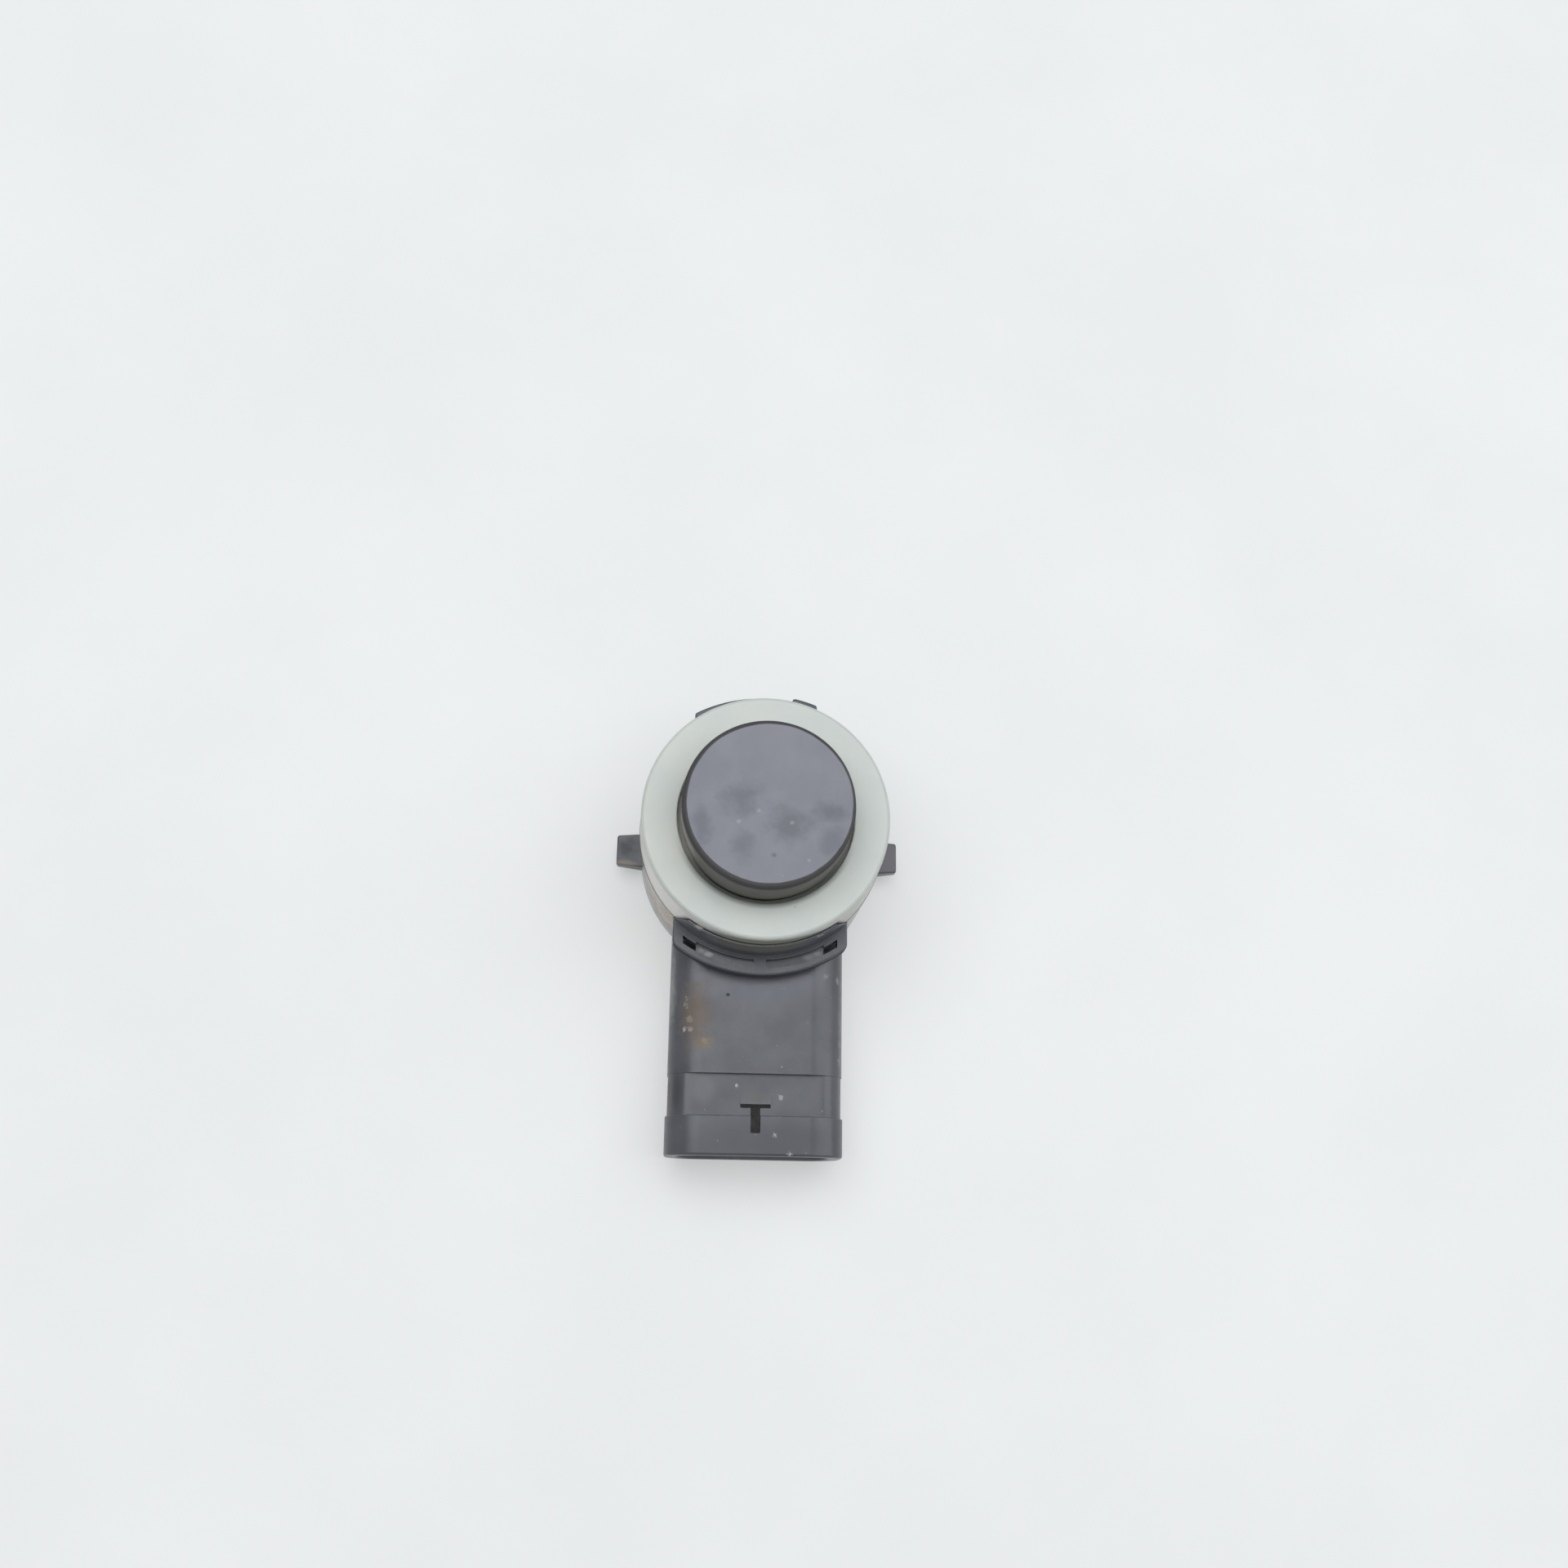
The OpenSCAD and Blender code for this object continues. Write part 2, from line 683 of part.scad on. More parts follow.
module circuit_board() {
    color([0.1, 0.38, 0.2]) translate([0, 0, board_z]) difference() {
        cylinder(r = board_r, h = board_t);
        for (x = terminal_x)
            translate([x, -terminal_leg_y, -cut]) cylinder(r = terminal_hole_r, h = board_t + 2 * cut);
        for (at = [signal_lead_at, ground_lead_at])
            translate([at[0], at[1], -cut]) cylinder(d = lead_d + 2 * fit, h = board_t + 2 * cut);
    }
}

// A square wire with a pointed tip in the socket, bent down into the board
module terminal(x) {
    half = terminal_w / 2;
    tip = half / 3;
    run = terminal_tip_y - terminal_leg_y + half;
    color([0.8, 0.76, 0.62]) translate([x, -terminal_leg_y + half, terminal_z]) {
        intersection_for (turn = [0, 90]) rotate([0, turn, 0])
            translate([0, 0, -half]) linear_extrude(terminal_w) polygon([
                [-half, 0], [half, 0], [half, -run + terminal_point],
                [tip, -run], [-tip, -run], [-half, -run + terminal_point]
            ]);
        leg_h = terminal_z - board_z + terminal_stub + half;
        translate([-half, -terminal_w, half - leg_h]) cube([terminal_w, terminal_w, leg_h]);
    }
}

module supply_terminal() { terminal(terminal_x[0]); }
module signal_terminal() { terminal(terminal_x[1]); }
module ground_terminal() { terminal(terminal_x[2]); }

// One bent leg of a chip: out of the body, down, and out along the board
module chip_leg() {
    rise = chip_h / 2;
    translate([0, leg_w / 2, 0]) rotate([90, 0, 0]) linear_extrude(leg_w) polygon([
        [-leg_t, rise], [leg_foot, rise], [leg_foot, leg_t], [2 * leg_foot, leg_t],
        [2 * leg_foot, 0], [leg_foot - leg_t, 0], [leg_foot - leg_t, rise - leg_t], [-leg_t, rise - leg_t]
    ]);
}

module control_chip() {
    color([0.12, 0.12, 0.13]) {
        translate([chip_at[0] - chip_w / 2, chip_at[1] - chip_l / 2, board_top + leg_t])
            cube([chip_w, chip_l, chip_h - leg_t]);
        for (turn = [0, 180], i = [0 : chip_legs - 1])
            translate([chip_at[0], chip_at[1], board_top]) rotate(turn)
                translate([chip_w / 2, (i - (chip_legs - 1) / 2) * chip_leg_pitch, 0]) chip_leg();
    }
}

module transformer_base() {
    color([0.2, 0.2, 0.22])
        on_board(transformer_at, transformer_base_w, transformer_base_w, transformer_base_t);
}

module on_transformer() {
    translate([transformer_at[0], transformer_at[1], board_top + transformer_base_t]) children();
}

module transformer_core() {
    color([0.25, 0.24, 0.24]) on_transformer() {
        for (z = [0, transformer_h - transformer_cheek_t])
            translate([0, 0, z]) cylinder(d = transformer_d, h = transformer_cheek_t);
        cylinder(d = transformer_post_d, h = transformer_h);
    }
}

module transformer_winding() {
    color([0.72, 0.42, 0.2]) on_transformer()
        tube(transformer_d / 2 - transformer_cheek_t / 2, transformer_post_d / 2 + fit,
             transformer_cheek_t, transformer_h - 2 * transformer_cheek_t);
}

module storage_capacitor() {
    color([0.75, 0.55, 0.15]) on_board(storage_at, storage_l, storage_w, storage_h);
}

module filter_capacitors() {
    color([0.66, 0.55, 0.42]) for (i = [0 : filter_count - 1])
        on_board(filter_at + [0, (i - (filter_count - 1) / 2) * filter_pitch],
                 small_part_l, small_part_w, filter_h);
}

module resistors() {
    color([0.13, 0.13, 0.14]) for (i = [0 : resistor_count - 1])
        on_board(resistor_at + [(i - (resistor_count - 1) / 2) * resistor_pitch, 0],
                 small_part_l, small_part_w, resistor_h);
}

module protection_diode() {
    color([0.16, 0.16, 0.17]) on_board(diode_at, diode_l, diode_w, diode_h);
}

housing();
rear_cover();
decoupling_ring();
membrane_cup();
piezo_disc();
damping_pad();
signal_lead();
ground_lead();
circuit_board();
control_chip();
transformer_base();
transformer_core();
transformer_winding();
storage_capacitor();
filter_capacitors();
resistors();
protection_diode();
supply_terminal();
signal_terminal();
ground_terminal();
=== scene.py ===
# %% [markdown]
# # A parking sensor, dressed in Blender
#
# The part is an ultrasonic parking sensor that has lived in a bumper: a black moulded body with a
# plug socket, a pale silicone ring, and a painted metal head that sends and hears the sound.
# The CAD model fixes every size. This lesson gives its pieces softened edges, real finishes and the
# dirt of a used part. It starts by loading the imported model, which nothing here moves or resizes.

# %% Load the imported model
import json
import math

import bmesh
import bpy
import numpy as np
from mathutils import Matrix, Quaternion, Vector


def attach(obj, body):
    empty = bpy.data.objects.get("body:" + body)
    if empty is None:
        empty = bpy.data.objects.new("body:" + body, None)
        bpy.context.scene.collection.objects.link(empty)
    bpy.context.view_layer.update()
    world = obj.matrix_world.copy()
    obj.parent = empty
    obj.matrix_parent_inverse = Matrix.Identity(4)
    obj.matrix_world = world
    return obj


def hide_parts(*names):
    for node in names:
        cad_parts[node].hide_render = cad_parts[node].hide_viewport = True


MM = 0.001
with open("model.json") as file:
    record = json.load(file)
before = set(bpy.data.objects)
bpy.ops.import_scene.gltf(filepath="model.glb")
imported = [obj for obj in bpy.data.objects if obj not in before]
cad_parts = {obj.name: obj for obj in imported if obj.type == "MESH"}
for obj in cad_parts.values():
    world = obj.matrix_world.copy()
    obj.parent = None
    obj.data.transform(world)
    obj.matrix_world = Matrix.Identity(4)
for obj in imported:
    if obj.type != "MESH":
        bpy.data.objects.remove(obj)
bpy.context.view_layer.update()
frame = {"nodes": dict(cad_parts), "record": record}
nodes = frame["nodes"]
scene = bpy.context.scene

# %% [markdown]
# ## Camera
#
# The photograph was taken from above and a little in front, with the socket towards the viewer.
# A camera can be aimed by hand, or worked out from known round shapes. Here its place was fitted to
# the ellipses of the head and the ring, so the script states a place, an aim, a small roll and a lens.

# %% Camera
CAMERA_PLACE = Vector((-7.69, -36.71, 155.44)) * MM
CAMERA_AIM = Vector((2.0, 4.954, 11.0)) * MM
CAMERA_ROLL = math.radians(-0.88)
CAMERA_LENS = 36.06
CAMERA_SENSOR = 36.0

camera = bpy.data.objects.new("camera", bpy.data.cameras.new("camera"))
scene.collection.objects.link(camera)
camera.data.sensor_width = CAMERA_SENSOR
camera.data.lens = CAMERA_LENS
camera.data.clip_start = MM
camera.data.clip_end = 20.0
forward = (CAMERA_AIM - CAMERA_PLACE).normalized()
right = forward.cross(Vector((0, 1, 0))).normalized()
right.rotate(Quaternion(forward, CAMERA_ROLL))
facing = Matrix((right, right.cross(forward), -forward)).transposed()
camera.matrix_world = Matrix.Translation(CAMERA_PLACE) @ facing.to_4x4()
scene.camera = camera
print("camera height in mm:", round(CAMERA_PLACE.z / MM, 1))

# %% [markdown]
# ## Light
#
# The part lies on a white table under a bright, soft, overhead light. Level black faces mirror it as
# a pale blue sheen, and faces that lean to the right or far to the left stay dark, which says where
# it hangs and how wide it is. One large softbox gives that. The shadows are faint on both sides, so
# a second one fills in from the right without a reflection, and a white card stands on the right,
# where the rounded flank of the socket mirrors it.

# %% Softbox, fill and card
SOFTBOX_PLACE = Vector((-0.25, 0.22, 0.95))
SOFTBOX_SIDE = 0.85
SOFTBOX_WATTS = 5.2
FILL_PLACE = Vector((0.45, 0.15, 0.9))
FILL_WATTS = 3.6
CARD_PLACE = Vector((0.85, 0.1, 0.65))
CARD_SIDE = 1.3
CARD_WATTS = 7.2
LIGHT_TINT = (0.95, 0.975, 1.0)


def hang_light(name, place, side, watts, lights=True, mirrored=True):
    """A square area light at a place that looks at the part. It can light it, be mirrored in it, or both."""
    light = bpy.data.objects.new(name, bpy.data.lights.new(name, "AREA"))
    scene.collection.objects.link(light)
    light.data.size = side
    light.data.energy = watts
    light.data.color = LIGHT_TINT
    light.location = place
    light.rotation_mode = "QUATERNION"
    light.rotation_quaternion = (-place).to_track_quat("-Z", "Y")
    light.visible_diffuse = lights
    light.visible_glossy = mirrored


hang_light("softbox", SOFTBOX_PLACE, SOFTBOX_SIDE, SOFTBOX_WATTS)
hang_light("fill", FILL_PLACE, SOFTBOX_SIDE, FILL_WATTS, mirrored=False)
hang_light("card", CARD_PLACE, CARD_SIDE, CARD_WATTS, lights=False)
scene.view_settings.view_transform = "Standard"
print("watts of softbox, fill and card:", SOFTBOX_WATTS, FILL_WATTS, CARD_WATTS)

# %% [markdown]
# The world is the room around the table. The camera and every reflection see it white, while it
# lights the part far less, so that the lamps keep the say over light and shade. A Light Path node
# tells these rays apart. Two helpers that place and link nodes come first, since all materials use
# them later.

# %% World
WORLD_FILL = 0.28
WORLD_SEEN = 1.0
WORLD_TINT = (0.97, 0.985, 1.0, 1.0)


def put(tree, kind, inputs=None, **settings):
    """Adds a node of that kind. Settings are its own options. Inputs are values, or sockets to link."""
    node = tree.nodes.new(kind)
    for name, value in settings.items():
        setattr(node, name, value)
    for name, value in (inputs or {}).items():
        if isinstance(value, bpy.types.NodeSocket):
            tree.links.new(value, node.inputs[name])
        else:
            node.inputs[name].default_value = value
    return node


def calc(tree, operation, *values):
    """The result of a Math node on one, two or three values."""
    return put(tree, "ShaderNodeMath", dict(enumerate(values)), operation=operation).outputs[0]


world = bpy.data.worlds.new("studio")
scene.world = world
world.use_nodes = True
tree = world.node_tree
tree.nodes.clear()
path = put(tree, "ShaderNodeLightPath").outputs
seen = calc(tree, "MAXIMUM", path["Is Camera Ray"], path["Is Glossy Ray"])
seen = calc(tree, "MAXIMUM", seen, path["Is Transmission Ray"])
strength = calc(tree, "MULTIPLY_ADD", seen, WORLD_SEEN - WORLD_FILL, WORLD_FILL)
sky = put(tree, "ShaderNodeBackground", {"Color": WORLD_TINT, "Strength": strength})
put(tree, "ShaderNodeOutputWorld", {"Surface": sky.outputs[0]})
print("world as seen:", WORLD_SEEN, "world as light:", WORLD_FILL)

# %% [markdown]
# ## Surfaces from numpy
#
# Three pieces show in full: the moulded body, the soft ring and the sounding head. Their CAD meshes
# are bare triangles with knife edges, while a moulded edge always has a small rounding that catches
# the light. A Bevel modifier wants clean faces, and long thin triangles are not, so these three are
# made again here, to the same sizes in millimetres, as grids of points: an outline with rounded
# corners is turned round the head's axis, or carried along the socket.

# %% Rounded outlines
CORNER_STEPS = 6


def unit(vectors):
    """Vectors divided by their own lengths."""
    return vectors / np.maximum(np.linalg.norm(vectors, axis=-1, keepdims=True), 1e-12)


def round_corners(corners, radii, steps=CORNER_STEPS):
    """Rounds a closed outline, with one radius for each corner. A corner P, with directions u and v to its
    neighbours, becomes an arc about P + m r / sin h, where m halves the corner and h is half its angle. The
    arc turns evenly from u to v."""
    corner = np.array(corners, float)
    radius = np.array(radii, float)[:, None]
    u = unit(np.roll(corner, 1, axis=0) - corner)
    v = unit(np.roll(corner, -1, axis=0) - corner)
    half = np.arccos(np.clip((u * v).sum(axis=1, keepdims=True), -1, 1)) / 2
    middle = unit(u + v)
    start = u / np.tan(half) - middle / np.sin(half)
    end = v / np.tan(half) - middle / np.sin(half)
    span = (np.pi - 2 * half)[:, None]
    t = np.linspace(0, 1, steps)[None, :, None]
    arc = (np.sin((1 - t) * span) * start[:, None] + np.sin(t * span) * end[:, None]) / np.sin(span)
    centre = corner + middle * radius / np.sin(half)
    return (centre[:, None] + radius[:, None] * arc).reshape(-1, 2)


def quarter(radius, steps=5):
    """A quarter turn as two arrays: r sin t and r (1 - cos t), for t from 0 to a right angle."""
    t = np.linspace(0, np.pi / 2, steps)
    return radius * np.sin(t), radius * (1 - np.cos(t))


print("a right angle rounded in 5 steps:", [round(float(x), 3) for x in quarter(1.0)[1]])

# %% [markdown]
# A grid becomes a skin when each square of four points gets a face. Turned shapes meet themselves at
# a seam, and some end in one point, so doubles are merged and the faces turned outwards afterwards.

# %% Skins over grids of points
MERGE_REACH = 1e-5


def tidy_mesh(mesh):
    """Merges doubles, so that seams and poles close, and turns the faces outwards."""
    work = bmesh.new()
    work.from_mesh(mesh)
    bmesh.ops.remove_doubles(work, verts=work.verts, dist=MERGE_REACH)
    bmesh.ops.recalc_face_normals(work, faces=work.faces)
    work.to_mesh(mesh)
    work.free()


def skin_grid(name, points, ring_of_rows=False, caps=()):
    """Covers a grid of points, rows by columns, with quads. Columns wrap round, and rows wrap too if asked.
    The rows named in caps are closed by a face."""
    rows, columns = points.shape[:2]
    index = np.arange(rows * columns).reshape(rows, columns)
    near = index if ring_of_rows else index[:-1]
    far = np.roll(index, -1, axis=0) if ring_of_rows else index[1:]
    quads = np.stack([near, np.roll(near, -1, axis=1), np.roll(far, -1, axis=1), far], axis=-1)
    faces = quads.reshape(-1, 4).tolist()
    faces += [index[row].tolist() for row in caps]
    mesh = bpy.data.meshes.new(name)
    mesh.from_pydata(points.reshape(-1, 3).tolist(), [], faces)
    tidy_mesh(mesh)
    piece = bpy.data.objects.new(name, mesh)
    scene.collection.objects.link(piece)
    return piece


def revolve(radius, height, turn):
    """Points of a turned body: (r cos a, r sin a, z), with a row for each profile point and a column for
    each angle. The radius may change with the angle."""
    radius, height, turn = np.broadcast_arrays(radius, height, turn)
    return np.stack([radius * np.cos(turn), radius * np.sin(turn), height], axis=-1)


TURNS = 256
turn = np.linspace(0, 2 * np.pi, TURNS, endpoint=False)[None, :]
shapes = {}
print("columns in a full turn:", turn.size)

# %% [markdown]
# ### Body: the barrel
#
# The barrel is a turned shape: a round wall with a deck across its front. The deck carries the soft
# ring, whose tongue sits in the groove near the rim, and a seat at the back takes the cover. It could
# be cut from cylinders, but one closed outline, turned round the axis, makes all of it at once.

# %% Barrel
BARREL_R = 11.6
BARREL_TOP = 11.3
GROOVE_OUT = 11.15
GROOVE_IN = 10.35
GROOVE_FLOOR = 10.25
DECK_HOLE_R = 7.2
DECK_UNDER = 9.8
HOLLOW_R = 9.9
SEAT_R = 10.6
SEAT_Z = 1.1

barrel_outline = round_corners(
    [(BARREL_R, 0), (BARREL_R, BARREL_TOP), (GROOVE_OUT, BARREL_TOP), (GROOVE_OUT, GROOVE_FLOOR),
     (GROOVE_IN, GROOVE_FLOOR), (GROOVE_IN, BARREL_TOP), (DECK_HOLE_R, BARREL_TOP), (DECK_HOLE_R, DECK_UNDER),
     (HOLLOW_R, DECK_UNDER), (HOLLOW_R, SEAT_Z), (SEAT_R, SEAT_Z), (SEAT_R, 0)],
    [0.2, 0.2, 0.03, 0, 0, 0.03, 0.1, 0.1, 0.3, 0.1, 0.05, 0.08])
barrel = skin_grid("barrel", revolve(barrel_outline[:, :1], barrel_outline[:, 1:], turn), ring_of_rows=True)
wall_middle_r = (BARREL_R + HOLLOW_R) / 2
print("barrel faces:", len(barrel.data.polygons), "middle of its wall:", wall_middle_r)

# %% [markdown]
# ### Body: flanges
#
# Two flat flanges stand out from the barrel's front rim, one over the socket and one with a keying
# lug on the far side. Each is a plate whose outline is a chain of arcs. Shrinking every arc by the
# same amount moves the outline inwards, so a few shrunken copies round the plate's edges.

# %% Flanges
FLANGE_R = 13.55
FLANGE_LOW = 9.6
FLANGE_TOP = 11.1
FLANGE_EDGE = 0.2
INNER_CORNER = 0.25
LUG_R = 13.95
LUG_CORNER = 0.25
LUG_LEFT, LUG_RIGHT = 2.95, 4.85
LUG_LEFT_Y, LUG_RIGHT_Y = 13.37, 12.81
LUG_FOOT_Y = 12.0


def plate(name, arcs, steps=24):
    """A flat plate as thick as the flanges. Its outline is a chain of arcs, (x, y, radius, from, to): a point
    is the arc's centre plus (radius - inset) times its direction. The inset grows over a quarter turn at
    the lower and upper edges."""
    x, y, radius, start, end = np.array(arcs, float).T[:, :, None]
    angle = np.radians(start + (end - start) * np.linspace(0, 1, steps))
    along, inset = quarter(FLANGE_EDGE)
    inset = np.concatenate([inset[::-1], inset])[:, None, None]
    height = np.concatenate([FLANGE_LOW + FLANGE_EDGE - along[::-1], FLANGE_TOP - FLANGE_EDGE + along])
    reach = radius - inset
    grid = np.broadcast_arrays(x + reach * np.cos(angle), y + reach * np.sin(angle), height[:, None, None])
    return skin_grid(name, np.stack(grid, axis=-1).reshape(len(height), -1, 3), caps=(0, -1))


def flange_arcs(half_w, corner_r, straight, turned):
    """The chain of arcs of a flange: the outer arc, a corner that runs tangent into it, and the corners at
    the straight side towards the axis. Turned is the direction of the flange in degrees."""
    x = half_w - corner_r
    y = math.sqrt((FLANGE_R - corner_r) ** 2 - x ** 2)
    lean = math.degrees(math.atan2(x, y))
    inner = INNER_CORNER
    chain = [(0, 0, FLANGE_R, 90 - lean, 90 + lean), (-x, y, corner_r, 90 + lean, 180),
             (inner - half_w, straight + inner, inner, 180, 270),
             (half_w - inner, straight + inner, inner, 270, 360), (x, y, corner_r, 0, 90 - lean)]
    cos, sin = math.cos(math.radians(turned)), math.sin(math.radians(turned))
    return [(px * cos - py * sin, px * sin + py * cos, r, start + turned, end + turned)
            for px, py, r, start, end in chain]


# Arcs of the lug: centre, radius, and where they start and end in degrees
lug_arcs = [(LUG_LEFT, LUG_LEFT_Y, LUG_CORNER, 80, 180), (LUG_LEFT, LUG_FOOT_Y, LUG_CORNER, 180, 270),
            (LUG_RIGHT, LUG_FOOT_Y, LUG_CORNER, 270, 360), (LUG_RIGHT, LUG_RIGHT_Y, LUG_CORNER, 0, 68),
            (0, 0, LUG_R, 69.4, 77.6)]
front_flange = plate("front_flange", flange_arcs(half_w=8.15, corner_r=0.9, straight=8.38, turned=180))
back_flange = plate("back_flange", flange_arcs(half_w=6.7, corner_r=0.3, straight=8.0, turned=0))
key_lug = plate("key_lug", lug_arcs)
print("flange faces:", [len(piece.data.polygons) for piece in (front_flange, back_flange, key_lug)])

# %% [markdown]
# ### Body: the guard wall
#
# A thin wall stands on the front flange, just in front of the soft ring. It could be cut from a tube,
# but here it is an upright section bent round the axis. Its ends lean in, so the bend starts and stops
# at an angle that depends on the height, which a grid takes as easily as straight ends.

# %% Guard wall
GUARD_IN = 11.35
GUARD_OUT = 11.72
GUARD_FOOT = 10.4
GUARD_TOP = 15.4
GUARD_EDGE = 8.4
GUARD_LEAN = math.tan(math.radians(13))
GUARD_ROUND = 0.12
GUARD_COLUMNS = 64

wall = round_corners(
    [(GUARD_IN, GUARD_FOOT), (GUARD_OUT, GUARD_FOOT), (GUARD_OUT, GUARD_TOP), (GUARD_IN, GUARD_TOP)],
    [0, 0, GUARD_ROUND, GUARD_ROUND])
end = np.arcsin((GUARD_EDGE + (wall[:, 1] - FLANGE_TOP) * GUARD_LEAN) / wall[:, 0])
share = np.linspace(0, 1, GUARD_COLUMNS)[:, None]
bend = -np.pi + end + share * (np.pi - 2 * end)
guard = skin_grid("guard", revolve(wall[:, 0], wall[:, 1], bend), caps=(0, -1))
print("guard wall faces:", len(guard.data.polygons))

# %% [markdown]
# ### Body: the side latches
#
# A small wedge on each side snaps behind the arms of a bracket. A cube could be tapered by hand, but
# a formula keeps both sides alike: a rounded rectangle shrinks on its way out, and pulls in once more
# over the rounded tip. The same rounded rectangle makes the socket's shroud below.

# %% Side latches
LATCH_TIP = 14.0
LATCH_TOP = 2.6
LATCH_HALF_W = (1.75, 1.48)
LATCH_THICK = (1.9, 1.1)
LATCH_EDGE = 0.2
LATCH_CORNER = 0.16


def rounded_section(half_w, half_h, corner_r, steps=7):
    """A rounded rectangle: in each quarter turn, the corner's centre plus the corner radius times a
    direction. Sizes may be columns of values, which gives one row of points for each."""
    angle = np.radians(90) * (np.arange(4)[:, None] + np.linspace(0, 1, steps)).ravel()
    across = np.repeat([1, -1, -1, 1], steps)
    up = np.repeat([1, 1, -1, -1], steps)
    return (across * (half_w - corner_r) + corner_r * np.cos(angle),
            up * (half_h - corner_r) + corner_r * np.sin(angle))


def side_latch(name, side):
    """A wedge along x. Its width and thickness change evenly from root to tip, and over the tip's edge the
    section shrinks by the inset of a quarter turn. Its top face stays level."""
    along, inset = quarter(LATCH_EDGE)
    out = np.concatenate([[wall_middle_r], LATCH_TIP - LATCH_EDGE + along])[:, None]
    inset = np.concatenate([[0], inset])[:, None]
    share = (out - wall_middle_r) / (LATCH_TIP - wall_middle_r)
    half_w = LATCH_HALF_W[0] + (LATCH_HALF_W[1] - LATCH_HALF_W[0]) * share - inset
    thick = LATCH_THICK[0] + (LATCH_THICK[1] - LATCH_THICK[0]) * share
    across, up = rounded_section(half_w, thick / 2 - inset, LATCH_CORNER)
    grid = np.broadcast_arrays(side * out, side * across, up + LATCH_TOP - thick / 2)
    return skin_grid(name, np.stack(grid, axis=-1), caps=(0, -1))


latches = [side_latch("right_latch", 1), side_latch("left_latch", -1)]
print("latch faces:", len(latches[0].data.polygons))

# %% [markdown]
# ### Body: the socket's shroud
#
# The shroud is one sleeve around the plug. A tube with a Solidify modifier would give it an even wall,
# but it has steps outside that the inside lacks. So a rounded rectangle is carried from inside the
# barrel's wall out to the mouth, over the rim, and back in to the socket's floor. Every step, rounding
# and wall is the same section grown or shrunk, and at the waist its top and bottom are cut flat.

# %% Shroud
SHROUD_HALF_W = 8.225
SHROUD_HALF_H = 4.35
SHROUD_CORNER = 3.3
SHROUD_WALL = 1.2
SHROUD_Z = 4.5
WAIST_HALF_H = 3.82
WAIST_STEP = 0.08
COLLAR_STEP = 0.1
WAIST_Y = 22.35
COLLAR_Y = 26.15
MOUTH_Y = 29.75
FLOOR_Y = 15.75
STEP_EDGE = 0.06
RIM_EDGE = 0.25
LEAD_IN = 0.35
FLOOR_EDGE = 0.3


def shroud_stations():
    """Distance from the axis, growth of the section, and the height at which it is cut flat, from the
    barrel out along the outside, over the rim, and back along the inside."""
    step, small = quarter(STEP_EDGE, steps=4), quarter(WAIST_STEP, steps=4)
    rim, lead, floor = quarter(RIM_EDGE), quarter(LEAD_IN), quarter(FLOOR_EDGE)
    uncut = 2 * SHROUD_HALF_H
    parts = [
        (WAIST_Y - STEP_EDGE + step[0], -step[1], uncut),
        (np.array([WAIST_Y, COLLAR_Y]), np.array([-WAIST_STEP, -WAIST_STEP]), WAIST_HALF_H),
        (COLLAR_Y + small[1], COLLAR_STEP - WAIST_STEP + small[0], uncut),
        (MOUTH_Y - RIM_EDGE + rim[0], COLLAR_STEP - rim[1], uncut),
        (MOUTH_Y - lead[1], LEAD_IN - SHROUD_WALL - lead[0], uncut),
        (FLOOR_Y + FLOOR_EDGE - floor[0], -SHROUD_WALL - floor[1], uncut),
    ]
    away = np.concatenate([part[0] for part in parts])
    grow = np.concatenate([part[1] for part in parts])
    flat = np.concatenate([np.full(len(part[0]), part[2]) for part in parts])
    return away[:, None], grow[:, None], flat[:, None]


away, grow, flat = shroud_stations()
across, up = rounded_section(SHROUD_HALF_W + grow, SHROUD_HALF_H + grow, SHROUD_CORNER + grow, steps=12)
sleeve = np.stack(np.broadcast_arrays(across, -away, SHROUD_Z + np.clip(up, -flat, flat)), axis=-1)
root = sleeve[:1].copy()
root[..., 1] = -np.sqrt(wall_middle_r ** 2 - root[..., 0] ** 2)
closing = root.copy()
closing[..., 2] = SHROUD_Z
shroud = skin_grid("shroud", np.concatenate([closing, root, sleeve]), caps=(-1,))
print("shroud faces:", len(shroud.data.polygons))

# %% [markdown]
# ### Body: the latch slot
#
# The plug locks with a tongue that snaps into a slot in the shroud's top, a bar with a stem, and a low
# ramp behind the bar leads the tongue in. Both are straight prisms: the ramp is added to the body, and
# the slot is cut from it further down.

# %% Latch ramp and latch slot
BAR_Y = 25.25
BAR_HALF_T = 0.175
BAR_HALF_W = 1.4
STEM_HALF_W = 0.45
STEM_END_Y = 27.725
SLOT_LOW, SLOT_HIGH = 7.1, 9.6
RAMP_HEIGHT = 0.16
RAMP_LENGTH = 1.1
RAMP_ROOT = 0.6
RAMP_OVERLAP = 0.125


def prism(name, outline, axis, low, high):
    """A straight prism: a flat outline carried along one axis from low to high."""
    grid = np.insert(outline[None].repeat(2, axis=0), axis, 0.0, axis=2)
    grid[0, :, axis] = low
    grid[1, :, axis] = high
    return skin_grid(name, grid, caps=(0, -1))


